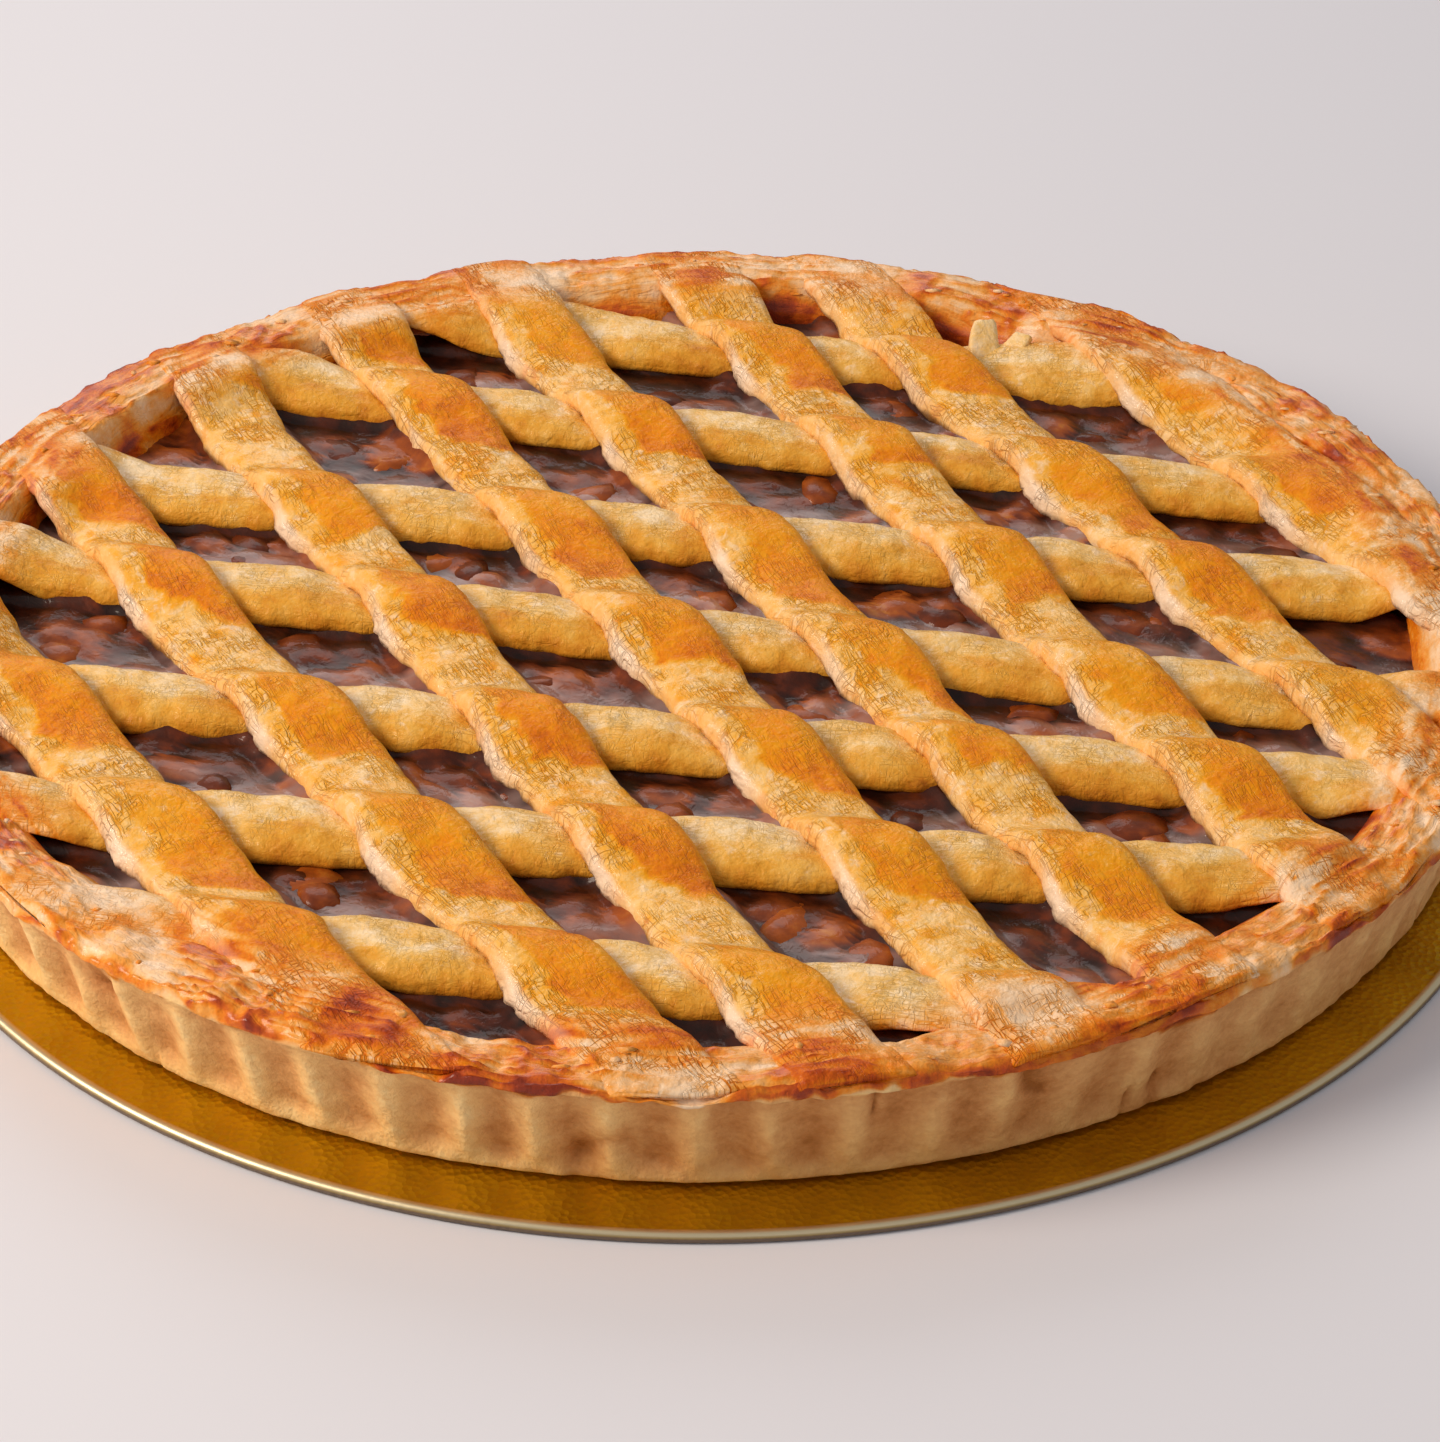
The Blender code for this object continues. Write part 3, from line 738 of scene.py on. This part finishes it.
def casePastry():
    made, tree, shader = newMaterial("short pastry, dry wall and browned rim")
    place = addNode(tree, "ShaderNodeTexCoord").outputs["Object"]
    bake = addNode(tree, "ShaderNodeAttribute", attribute_name="bake").outputs["Fac"]
    top = addNode(tree, "ShaderNodeAttribute", attribute_name="top").outputs["Fac"]
    grooveShade = addNode(tree, "ShaderNodeAttribute", attribute_name="grooveShade").outputs["Fac"]
    bake = addBlotches(tree, place, bake, caseLook["blotches"], 4.0)
    grain = addNode(tree, "ShaderNodeAttribute", attribute_name="grain").outputs["Vector"]
    length, width, contrast = caseLook["leaves"]
    turned = addNode(tree, "ShaderNodeMapping", {"Scale": (1000 / length, 1000 / length, 1000 / width)},
                     {"Vector": grain})
    leaves = addNode(tree, "ShaderNodeTexNoise", {"Scale": 1.0, "Detail": 3.0, "Distortion": 1.6},
                     {"Vector": turned.outputs["Vector"]})
    leaf = addNode(tree, "ShaderNodeMath", {1: 0.5}, {0: leaves.outputs["Fac"]}, operation="SUBTRACT")
    leaf = addNode(tree, "ShaderNodeMath", None, {0: leaf.outputs[0], 1: top}, operation="MULTIPLY")
    bake = addNode(tree, "ShaderNodeMath", {1: contrast}, {0: leaf.outputs[0], 2: bake},
                   operation="MULTIPLY_ADD").outputs[0]
    # the hollows and cracks painted darker as painted shade
    creaseShade = addNode(tree, "ShaderNodeMath", {1: caseLook["grooveShade"]}, {0: grooveShade, 2: bake},
                     operation="MULTIPLY_ADD")
    spread = addNode(tree, "ShaderNodeMapRange", {"From Max": caseLook["paleShare"]},
                     {"Value": creaseShade.outputs[0]})
    wallRamp = addNode(tree, "ShaderNodeValToRGB", links={"Fac": spread.outputs["Result"]})
    fillRamp(wallRamp.color_ramp, caseLook["wall"])
    rimRamp = addNode(tree, "ShaderNodeValToRGB", links={"Fac": bake})
    fillRamp(rimRamp.color_ramp, rimColours)
    colours = addNode(tree, "ShaderNodeMix", None,
                      {"Factor": top, "A": wallRamp.outputs["Color"], "B": rimRamp.outputs["Color"]},
                      data_type="RGBA")
    tree.links.new(colours.outputs["Result"], shader.inputs["Base Color"])
    shader.inputs["Roughness"].default_value = caseLook["rough"]
    gloss = addNode(tree, "ShaderNodeMath", {1: caseLook["gloss"]}, {0: top}, operation="MULTIPLY")
    tree.links.new(gloss.outputs[0], shader.inputs["Coat Weight"])
    shader.inputs["Specular IOR Level"].default_value = foodShine
    shader.inputs["Coat Roughness"].default_value = caseLook["glossRough"]
    fine = addNode(tree, "ShaderNodeTexNoise", {"Scale": 1000 / caseLook["fine"], "Detail": 5.0},
                   {"Vector": place})
    size, share = caseLook["pits"]
    pits = addNode(tree, "ShaderNodeTexVoronoi", {"Scale": 1000 / size}, {"Vector": place})
    both = addNode(tree, "ShaderNodeMath", {1: share},
                   {0: pits.outputs["Distance"], 2: fine.outputs["Fac"]}, operation="MULTIPLY_ADD")
    both = addNode(tree, "ShaderNodeMath", {1: caseLook["leafHeight"]},
                   {0: leaf.outputs[0], 2: both.outputs[0]}, operation="MULTIPLY_ADD")
    bump = addNode(tree, "ShaderNodeBump", {"Strength": caseLook["strength"],
                   "Distance": caseLook["height"] * mm}, {"Height": both.outputs[0]})
    tree.links.new(bump.outputs["Normal"], shader.inputs["Normal"])
    return made


casePiece = makeCase()
casePiece.data.materials.append(casePastry())
print("case made")


# The filling: diced apple in syrup. Its grid runs with the strips, so that the syrup can climb
# their sides in a clean line, and goes on under them and into the case.
filling = {
    "radius": 139.4, "bottom": 6.0, "level": 19.2,
    "climb": 1.7, "climbReach": 1.8,
    # share of the way to the next strip that a strip hides, and the lines between the two
    "upperGrid": (0.17, 25), "lowerGrid": (0.15, 31),
    "dice": (8.5, 1.5), "diceHalf": 0.62, "swell": (14.0, 0.5), "diceDrift": 1.2,
    "puddle": 19.3, "puddleWaves": (9.0, 0.35), "puddleSkin": (4.0, 0.14), "ripples": (1.7, 0.05),
    "filmAndGlare": ((7.5, 13.0), (0.3, 3.2)),   # mm behind a lower and beside an upper strip where the syrup's film is glossier and painted pale grey as a painted reflection of the sky
    "paintedShadow": (9.5, 17.0),                  # mm in front of a lower strip over which the painted shadow under it fades out
    "chunks": (9.0, 14.0), "perWindow": 2, "chunkTop": (19.9, 20.7),
    "chunkShape": ((0.8, 0.6, 0.4), (1.2, 1.0, 0.6)), "chunkPower": 5, "chunkLumps": (5.0, 0.5),
    "chunkSpread": (12.0, 9.0), "chunkReach": 136.0, "chunkTilt": 0.3, "chunkTones": (0.30, 0.75),
    "windowReach": 138.0,
    "syrupTone": 0.10, "diceTone": (0.10, 0.55), "blotches": (4.0, 0.12),
    "filmTone": (0.42, 0.5), "paintedShadowDepth": 0.6,
}


def gapSteps(hidden, count):
    # places from one strip's middle to the next, few under the strips and close beside them
    seen = 0.5 - 0.5 * np.cos(np.linspace(0, np.pi, count))
    seen = 0.65 * seen + 0.35 * np.linspace(0, 1, count)
    return np.concatenate(((0.0, hidden * 0.6), hidden + seen * (1 - 2 * hidden), (1 - hidden * 0.6,)))


def latticeLines(strips, hidden, count):
    # lines between the strips' middle lines, with one gap more outside each end of the family
    ends = []
    for last, before in ((0, 1), (-1, -2)):
        gap = strips[last]["point"] - strips[before]["point"]
        ends.append({"point": strips[last]["point"] + gap * 1.4, "along": strips[last]["along"]})
    whole = [ends[0], *strips, ends[1]]
    points, alongs = [], []
    for a, b in zip(whole, whole[1:]):
        for step in gapSteps(hidden, count):
            points.append(mix(a["point"], b["point"], step))
            alongs.append(mix(a["along"], b["along"], step))
    return np.array(points), np.array(alongs)


def nearestDice(points, size, seed):
    # distance to the nearest dice of apple, and a number of its own for each
    cell, part = cellsOf(points, size)
    best, name = np.full(len(points), 9.0), np.zeros(len(points))
    for step in ((dx, dy) for dx in (-1, 0, 1) for dy in (-1, 0, 1)):
        key = scrambled(cell + step, seed)
        a, b, c = ((key >> n & 0xFF) / 255 for n in (3, 11, 19))
        turn = c * np.pi
        gap = part - step - np.column_stack((0.15 + 0.7 * a, 0.15 + 0.7 * b))
        along = np.abs(gap[:, 0] * np.cos(turn) + gap[:, 1] * np.sin(turn)) * 0.85
        aside = np.abs(gap[:, 1] * np.cos(turn) - gap[:, 0] * np.sin(turn)) * 1.15
        away = (along ** 3 + aside ** 3) ** (1 / 3)
        closer = away < best
        best, name = np.where(closer, away, best), np.where(closer, c * 7 % 1, name)
    return best, name


def makeSyrup():
    upperPoints, upperAlongs = latticeLines(uppers, *filling["upperGrid"])
    lowerPoints, lowerAlongs = latticeLines(lowers, *filling["lowerGrid"])
    mesh, across, back = gridBmesh(len(upperPoints) - 1, len(lowerPoints) - 1)
    n = np.rint(across * (len(upperPoints) - 1)).astype(int)
    m = np.rint(back * (len(lowerPoints) - 1)).astype(int)
    gap = lowerPoints[m] - upperPoints[n]
    a, b = upperAlongs[n], lowerAlongs[m]
    run = (b[:, 0] * gap[:, 1] - b[:, 1] * gap[:, 0]) / (b[:, 0] * a[:, 1] - b[:, 1] * a[:, 0])
    xy = upperPoints[n] + a * run[:, None]
    radius = np.maximum(fromMiddle(xy), 1e-6)
    xy *= (np.minimum(radius, filling["radius"]) / radius)[:, None]
    flat = withHeight(xy)

    size, rise = filling["dice"]
    drift = filling["diceDrift"] * np.column_stack((lumps(flat, 5, 35), lumps(flat, 5, 36)))
    away, name = nearestDice(xy + drift, size, 37)
    bulk = np.sqrt(np.clip(1 - (away / filling["diceHalf"]) ** 2, 0, 1))
    z = filling["level"] - 0.6 + rise * bulk * (0.6 + 0.7 * name) + bumpy(flat, filling["swell"], 31)
    # syrup stands level between the dice, with a skin that wrinkles as it sets
    pool = filling["puddle"] + bumpy(flat, filling["puddleWaves"], 38)
    pool += bumpy(flat, filling["puddleSkin"], 32, creases)
    share = smooth(-0.5, 0.5, (z - pool) / 0.5)
    z = mix(pool, z, share)
    room = np.minimum(pastEdge(uppers, xy), pastEdge(lowers, xy))
    z += filling["climb"] * (1 - smooth(-0.8, filling["climbReach"], room + 0.7 * lumps(flat, 7, 39)))
    z += bumpy(flat, filling["ripples"], 33)
    low, high = filling["diceTone"]
    tone = filling["syrupTone"] + share * (low + high * name) + bumpy(flat, filling["blotches"], 34)
    # the film: a wet meniscus, glossier under the coat, whose pale grey colour is a painted reflection of
    # the sky
    streaky = 2.6 * layered(flat / (2.6, 1.0, 1.0), 3.4, 41)
    filmAndGlare = 1 - smooth(*filling["filmAndGlare"][0], behindEdge(lowers, xy) + streaky)
    filmAndGlare = np.maximum(filmAndGlare, 1 - smooth(*filling["filmAndGlare"][1], behindEdge(uppers, xy) + 0.6 * streaky))
    plain, uneven = filling["filmTone"]
    filmAndGlare *= plain + uneven * layered(flat / (2.4, 1.0, 1.0), 2.4, 42)
    # painted shadow: darkest just in front of the strip behind, where it would shade the syrup, with no
    # painted reflection there
    paintedShadow = 1 - smooth(*filling["paintedShadow"], inFrontOf(lowers, xy) + 2.0 * layered(flat, 6, 43))
    tone *= 1 - filling["paintedShadowDepth"] * paintedShadow
    filmAndGlare *= 1 - paintedShadow
    z[(across < 1e-6) | (across > 1 - 1e-6) | (back < 1e-6) | (back > 1 - 1e-6)] = filling["bottom"]
    piece = finishMesh("apple_syrup", mesh, withHeight(xy, z), {"tone": tone, "filmAndGlare": filmAndGlare})
    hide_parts("apple_filling")
    return piece


def windowMiddles():
    # the middle of each window of the lattice, from its four corners
    for left, right in zip(uppers, uppers[1:]):
        for back, front in zip(lowers, lowers[1:]):
            corners = []
            for a in (left, right):
                for b in (back, front):
                    gap = b["point"] - a["point"]
                    cross = b["along"][0] * a["along"][1] - b["along"][1] * a["along"][0]
                    run = (b["along"][0] * gap[1] - b["along"][1] * gap[0]) / cross
                    corners.append(a["point"] + a["along"] * run)
            middle = np.mean(corners, axis=0)
            if np.linalg.norm(middle) < filling["windowReach"]:
                yield middle


def makeChunks():
    draw = np.random.default_rng(7)
    spread, power = np.array(filling["chunkSpread"]), filling["chunkPower"]
    bm = bmesh.new()
    tone = bm.verts.layers.float.new("tone")
    for middle in windowMiddles():
        for n in range(filling["perWindow"]):
            spot = middle + draw.uniform(-spread, spread)
            if np.linalg.norm(spot) > filling["chunkReach"]:
                continue
            size = draw.uniform(*filling["chunks"]) / 2
            made = bmesh.ops.create_icosphere(bm, subdivisions=2, radius=1)["verts"]
            points = np.array([v.co for v in made])
            # pulled out towards a cube, since the apple was diced
            points /= (np.abs(points) ** power).sum(axis=1)[:, None] ** (1 / power)
            points *= size * draw.uniform(*filling["chunkShape"])
            points += unevenness(points + n * 50, filling["chunkLumps"], 40)
            turn = Matrix.Rotation(draw.uniform(0, math.tau), 3, "Z")
            turn = turn @ Matrix.Rotation(draw.uniform(-1, 1) * filling["chunkTilt"], 3, "X")
            points = points @ np.array(turn).T
            points[:, 2] += draw.uniform(*filling["chunkTop"]) - points[:, 2].max()
            points[:, :2] += spot + pie["centre"]
            shade = draw.uniform(*filling["chunkTones"])
            for vert, point in zip(made, points * mm):
                vert.co = point
                vert[tone] = shade
    bmesh.ops.recalc_face_normals(bm, faces=bm.faces)
    piece = placeObject(bm, "apple_dice")
    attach(piece, "root")
    return piece


# Cooked apple in brown sugar syrup: amber to dark brown, and wet all over.
appleLooks = {
    "stops": ((0.0, "#260C02"), (0.25, "#481A04"), (0.5, "#743008"), (0.75, "#A45012"), (1.0, "#CC842C")),
    "blotches": ((4.0, 0.8),), "paintedSkyReflection": "#9C8078",
    "rough": 0.5, "filmAndGlare": 0.45, "filmRough": 0.06,
    "ripple": 2.2, "strength": 0.3, "height": 0.4,   # relief, in mm
}


def wetApple(name, look):
    made, tree, shader = newMaterial(name)
    place = addNode(tree, "ShaderNodeTexCoord").outputs["Object"]
    tone = addNode(tree, "ShaderNodeAttribute", attribute_name="tone").outputs["Fac"]
    mixed = addBlotches(tree, place, tone, look["blotches"], 4.0)
    ramp = addNode(tree, "ShaderNodeValToRGB", links={"Fac": mixed})
    fillRamp(ramp.color_ramp, look["stops"])
    filmAndGlare = addNode(tree, "ShaderNodeAttribute", attribute_name="filmAndGlare").outputs["Fac"]
    # painted reflection: the film's pale grey stands in for the sky mirrored in the syrup
    skin = addNode(tree, "ShaderNodeMix", {"B": hexColour(look["paintedSkyReflection"])},
                   {"Factor": filmAndGlare, "A": ramp.outputs["Color"]}, data_type="RGBA")
    tree.links.new(skin.outputs["Result"], shader.inputs["Base Color"])
    shader.inputs["Roughness"].default_value = look["rough"]
    shader.inputs["Specular IOR Level"].default_value = foodShine
    wetness = addNode(tree, "ShaderNodeMapRange", {"To Min": look["filmAndGlare"] * 0.6,
                      "To Max": look["filmAndGlare"] * 1.6}, {"Value": filmAndGlare})
    tree.links.new(wetness.outputs["Result"], shader.inputs["Coat Weight"])
    shader.inputs["Coat Roughness"].default_value = look["filmRough"]
    ripple = addNode(tree, "ShaderNodeTexNoise", {"Scale": 1000 / look["ripple"], "Detail": 3.0,
                     "Distortion": 1.2}, {"Vector": place})
    bump = addNode(tree, "ShaderNodeBump", {"Strength": look["strength"],
                   "Distance": look["height"] * mm}, {"Height": ripple.outputs["Fac"]})
    for socket in ("Normal", "Coat Normal"):
        tree.links.new(bump.outputs["Normal"], shader.inputs[socket])
    return made


appleMaterial = wetApple("cooked apple in dark syrup", appleLooks)
makeSyrup().data.materials.append(appleMaterial)
makeChunks().data.materials.append(appleMaterial)
print("filling made")


# Loose bits: crumbs that stuck in the folds of the rim, a shard of dough with a smaller one
# beside it, and a third at the left, each where a strip's end tore.
looseBits = {
    "crumbs": 80, "crumbSize": (0.5, 1.1), "crumbRing": (138.5, 149.5), "crumbSunk": 0.2,
    "crumbShape": ((0.8, 0.5, 0.15), (2.2, 1.4, 0.35)), "crumbTones": (0.10, 0.50),
    "shards": (   # place about the pie's middle, turn in degrees, and width, thickness and height
        ((60.0, 113.5), 14.0, (6.4, 2.0, 9.6)),
        ((67.4, 113.0), -34.0, (4.6, 1.6, 3.8)),
        ((-138.0, 36.0), 70.0, (4.0, 1.6, 3.0)),
    ),
    "lean": 50.0,   # degrees the shards lean back
    "squareness": 14, "skew": 0.22, "taper": 0.05, "shardLumps": (2.0, 0.22), "shardSunk": 1.5,
    "shardTone": 0.08, "crumbRough": 0.4,
}


def surfaceUnder(x, y, pieces):
    # the highest point of these pieces here, seen from 50 mm up
    down = Vector((0, 0, -1))
    found = [p.ray_cast(Vector(((x + pie["centre"][0]) * mm, (y + pie["centre"][1]) * mm, 0.05)), down)
             for p in pieces]
    return max((hit.z / mm for ok, hit, _, _ in found if ok), default=None)


def makeLooseBits(pieces):
    bpy.context.view_layer.update()
    draw = np.random.default_rng(21)
    bm = bmesh.new()
    bake = bm.verts.layers.float.new("bake")
    browned = bm.verts.layers.float.new("rim")

    def place(made, points, x, y, sink, tone, asRim):
        level = surfaceUnder(x, y, pieces)
        if level is None:
            bmesh.ops.delete(bm, geom=made, context="VERTS")
            return
        level = min(level - sink, pie["top"] - np.ptp(points[:, 2])) - points[:, 2].min()
        points = points + (x + pie["centre"][0], y + pie["centre"][1], level)
        for vert, point in zip(made, points * mm):
            vert.co = point
            vert[bake] = tone
            vert[browned] = asRim

    for _ in range(looseBits["crumbs"]):
        made = bmesh.ops.create_icosphere(bm, subdivisions=1, radius=1)["verts"]
        points = np.array([v.co for v in made]) * draw.uniform(*looseBits["crumbSize"])
        points *= draw.uniform(*looseBits["crumbShape"])
        points += looseBits["crumbRough"] * draw.uniform(-1, 1, points.shape) * np.abs(points)
        turn, away = draw.uniform(0, math.tau), draw.uniform(*looseBits["crumbRing"])
        x, y = away * math.cos(turn), away * math.sin(turn)
        place(made, points, x, y, looseBits["crumbSunk"], draw.uniform(*looseBits["crumbTones"]), 1.0)
    power = looseBits["squareness"]
    for (x, y), turn, size in looseBits["shards"]:
        made = bmesh.ops.create_icosphere(bm, subdivisions=3, radius=1)["verts"]
        points = np.array([v.co for v in made])
        points /= (np.abs(points) ** power).sum(axis=1)[:, None] ** (1 / power)
        points *= np.array(size) / 2
        points[:, 0] += looseBits["skew"] * points[:, 2] - looseBits["taper"] * points[:, 0] * points[:, 2]
        points += unevenness(points, looseBits["shardLumps"], 60)
        lean = Matrix.Rotation(math.radians(-looseBits["lean"]), 3, "X")
        points = points @ np.array(Matrix.Rotation(math.radians(turn), 3, "Z") @ lean).T
        place(made, points, x, y, looseBits["shardSunk"], looseBits["shardTone"], 0.0)
    bmesh.ops.recalc_face_normals(bm, faces=bm.faces)
    piece = placeObject(bm, "pastry_flakes")
    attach(piece, "root")
    piece.data.materials.append(lowerMaterial)


makeLooseBits([casePiece, *lowerPieces, *upperPieces])
print("crumbs and flakes laid")


# The card: grey board under gold foil that is rolled over its edge in a bright bead.
card = {
    "centre": (0.0, -2.35), "steps": 256,
    "section": ((0, 0.0), (152.2, 0.0), (152.7, 0.35), (152.8, 1.0), (152.65, 1.6), (152.2, 1.95),
                (151.6, 2.0), (151.0, 1.85), (150.4, 1.8), (0, 1.8)),
    "beadFrom": (151.2, 1.2), "boardFrom": 151.9,   # radius and height where the edge changes
}


def makeCard():
    bm = bmesh.new()
    section = [bm.verts.new((radius * mm, 0, height * mm)) for radius, height in card["section"]]
    edges = [bm.edges.new(pair) for pair in zip(section, section[1:])]
    bmesh.ops.spin(bm, geom=section + edges, axis=(0, 0, 1), cent=(0, 0, 0), angle=math.tau,
                   steps=card["steps"], use_merge=True)
    bmesh.ops.remove_doubles(bm, verts=bm.verts, dist=1e-6)
    bmesh.ops.recalc_face_normals(bm, faces=bm.faces)
    beadHighlight = bm.verts.layers.float.new("beadHighlight")
    board = bm.verts.layers.float.new("board")
    beadRadius, beadHeight = card["beadFrom"]
    for v in bm.verts:
        radius, height = math.hypot(v.co.x, v.co.y) / mm, v.co.z / mm
        v[beadHighlight] = float(radius > beadRadius and height > beadHeight)
        v[board] = float(radius > card["boardFrom"] and height < beadHeight)
    bmesh.ops.translate(bm, vec=(card["centre"][0] * mm, card["centre"][1] * mm, 0), verts=bm.verts)
    piece = placeObject(bm, "gold_card")
    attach(piece, "root")
    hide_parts("cake_card")
    return piece


foilLook = {
    "gold": ("#B08C08", "#E0B81A"), "clouds": 14.0, "beadHighlight": "#DCCDA8", "board": "#6E5A48",
    "rough": 0.44, "pebble": 1.3, "height": 0.3,   # mm
    "strength": (0.8, -0.75),   # of the pebble, and what the bead takes from it
}


def goldFoil():
    # thin metallised film pressed with a fine pebble, so that its mirror breaks into a sheen;
    # the rolled bead is painted pale cream as a painted highlight, and the cut board shows under it
    made, tree, shader = newMaterial("gold foil on card")
    place = addNode(tree, "ShaderNodeTexCoord").outputs["Object"]
    cloud = addNode(tree, "ShaderNodeTexNoise", {"Scale": 1000 / foilLook["clouds"], "Detail": 3.0},
                    {"Vector": place})
    shade, shine = (hexColour(text) for text in foilLook["gold"])
    tint = addNode(tree, "ShaderNodeMix", {"A": shade, "B": shine},
                   {"Factor": cloud.outputs["Fac"]}, data_type="RGBA")
    beadHighlight = addNode(tree, "ShaderNodeAttribute", attribute_name="beadHighlight").outputs["Fac"]
    board = addNode(tree, "ShaderNodeAttribute", attribute_name="board").outputs["Fac"]
    highlighted = addNode(tree, "ShaderNodeMix", {"B": hexColour(foilLook["beadHighlight"])},
                   {"Factor": beadHighlight, "A": tint.outputs["Result"]}, data_type="RGBA")
    edge = addNode(tree, "ShaderNodeMix", {"B": hexColour(foilLook["board"])},
                   {"Factor": board, "A": highlighted.outputs["Result"]}, data_type="RGBA")
    tree.links.new(edge.outputs["Result"], shader.inputs["Base Color"])
    metal = addNode(tree, "ShaderNodeMath", {0: 1.0}, {1: board}, operation="SUBTRACT")
    tree.links.new(metal.outputs[0], shader.inputs["Metallic"])
    shader.inputs["Roughness"].default_value = foilLook["rough"]
    pebble = addNode(tree, "ShaderNodeTexVoronoi", {"Scale": 1000 / foilLook["pebble"]}, {"Vector": place})
    plain, beadShare = foilLook["strength"]
    flat = addNode(tree, "ShaderNodeMath", {1: beadShare, 2: plain}, {0: beadHighlight}, operation="MULTIPLY_ADD")
    bump = addNode(tree, "ShaderNodeBump", {"Distance": foilLook["height"] * mm},
                   {"Height": pebble.outputs["Distance"], "Strength": flat.outputs[0]})
    tree.links.new(bump.outputs["Normal"], shader.inputs["Normal"])
    return made


makeCard().data.materials.append(goldFoil())
print("card made")


# The floor, the light and the camera.
studio = {
    "floor": "#E9E9EF", "floorHalf": 4.0, "floorRough": 0.6,   # the half width is in metres
    "skyTint": "#F4F2F4", "sky": 0.43,
    "key": {"from": (-1.15, -0.28, 0.83), "size": 0.65, "watts": 15.3, "tint": "#FFEEDC"},
    "back": {"from": (-0.3, 1.7, 1.05), "size": 1.2, "watts": 8.0, "tint": "#FFF8F8"},
    "fill": {"from": (0.5, -1.6, 1.3), "size": 1.2, "watts": 0.9, "tint": "#FFF0E4"},
}
view = {   # fitted to the card's edge, the foot of the pie and the crossings of the lattice
    "place": (0.0, -724.8, 448.4),
    "turn": 0.309, "down": 31.513, "roll": -0.351,
    "focalPixels": 4467.7, "photoHeight": 1442,
}


def makeFloor():
    bm = bmesh.new()
    bmesh.ops.create_grid(bm, x_segments=1, y_segments=1, size=studio["floorHalf"])
    floor = placeObject(bm, "pale_floor", smoothed=False)
    made, _, shader = newMaterial("plain pale floor")
    shader.inputs["Base Color"].default_value = hexColour(studio["floor"])
    shader.inputs["Roughness"].default_value = studio["floorRough"]
    floor.data.materials.append(made)


def makeLight(name, look):
    lamp = bpy.data.lights.new(name, "AREA")
    lamp.shape = "DISK"
    lamp.size = look["size"]
    lamp.energy = look["watts"]
    lamp.color = hexColour(look["tint"])[:3]
    obj = bpy.data.objects.new(name, lamp)
    obj.location = look["from"]
    obj.rotation_euler = (-Vector(look["from"])).to_track_quat("-Z", "Y").to_euler()
    bpy.context.scene.collection.objects.link(obj)


def makeSky():
    world = bpy.data.worlds.new("soft studio")
    world.use_nodes = True
    background = world.node_tree.nodes["Background"]
    background.inputs["Color"].default_value = hexColour(studio["skyTint"])
    background.inputs["Strength"].default_value = studio["sky"]
    bpy.context.scene.world = world


def makeCamera():
    turn, down, roll = (math.radians(view[key]) for key in ("turn", "down", "roll"))
    ahead = Vector((math.sin(turn) * math.cos(down), math.cos(turn) * math.cos(down), -math.sin(down)))
    right = Vector((math.cos(turn), -math.sin(turn), 0))
    up = right.cross(ahead)
    rolledRight = right * math.cos(roll) - up * math.sin(roll)
    rolledUp = right * math.sin(roll) + up * math.cos(roll)
    lens = bpy.data.cameras.new("photo view")
    lens.sensor_fit = "VERTICAL"
    lens.sensor_height = 36.0
    lens.lens = view["focalPixels"] * lens.sensor_height / view["photoHeight"]
    camera = bpy.data.objects.new("photo view", lens)
    camera.matrix_world = Matrix.Translation(Vector(view["place"]) * mm) @ Matrix(
        (rolledRight, rolledUp, -ahead)).transposed().to_4x4()
    bpy.context.scene.collection.objects.link(camera)
    bpy.context.scene.camera = camera


makeFloor()
makeSky()
for lampName in ("key", "back", "fill"):
    makeLight(lampName, studio[lampName])
makeCamera()
bpy.context.scene.view_settings.view_transform = "Standard"
print("studio made")
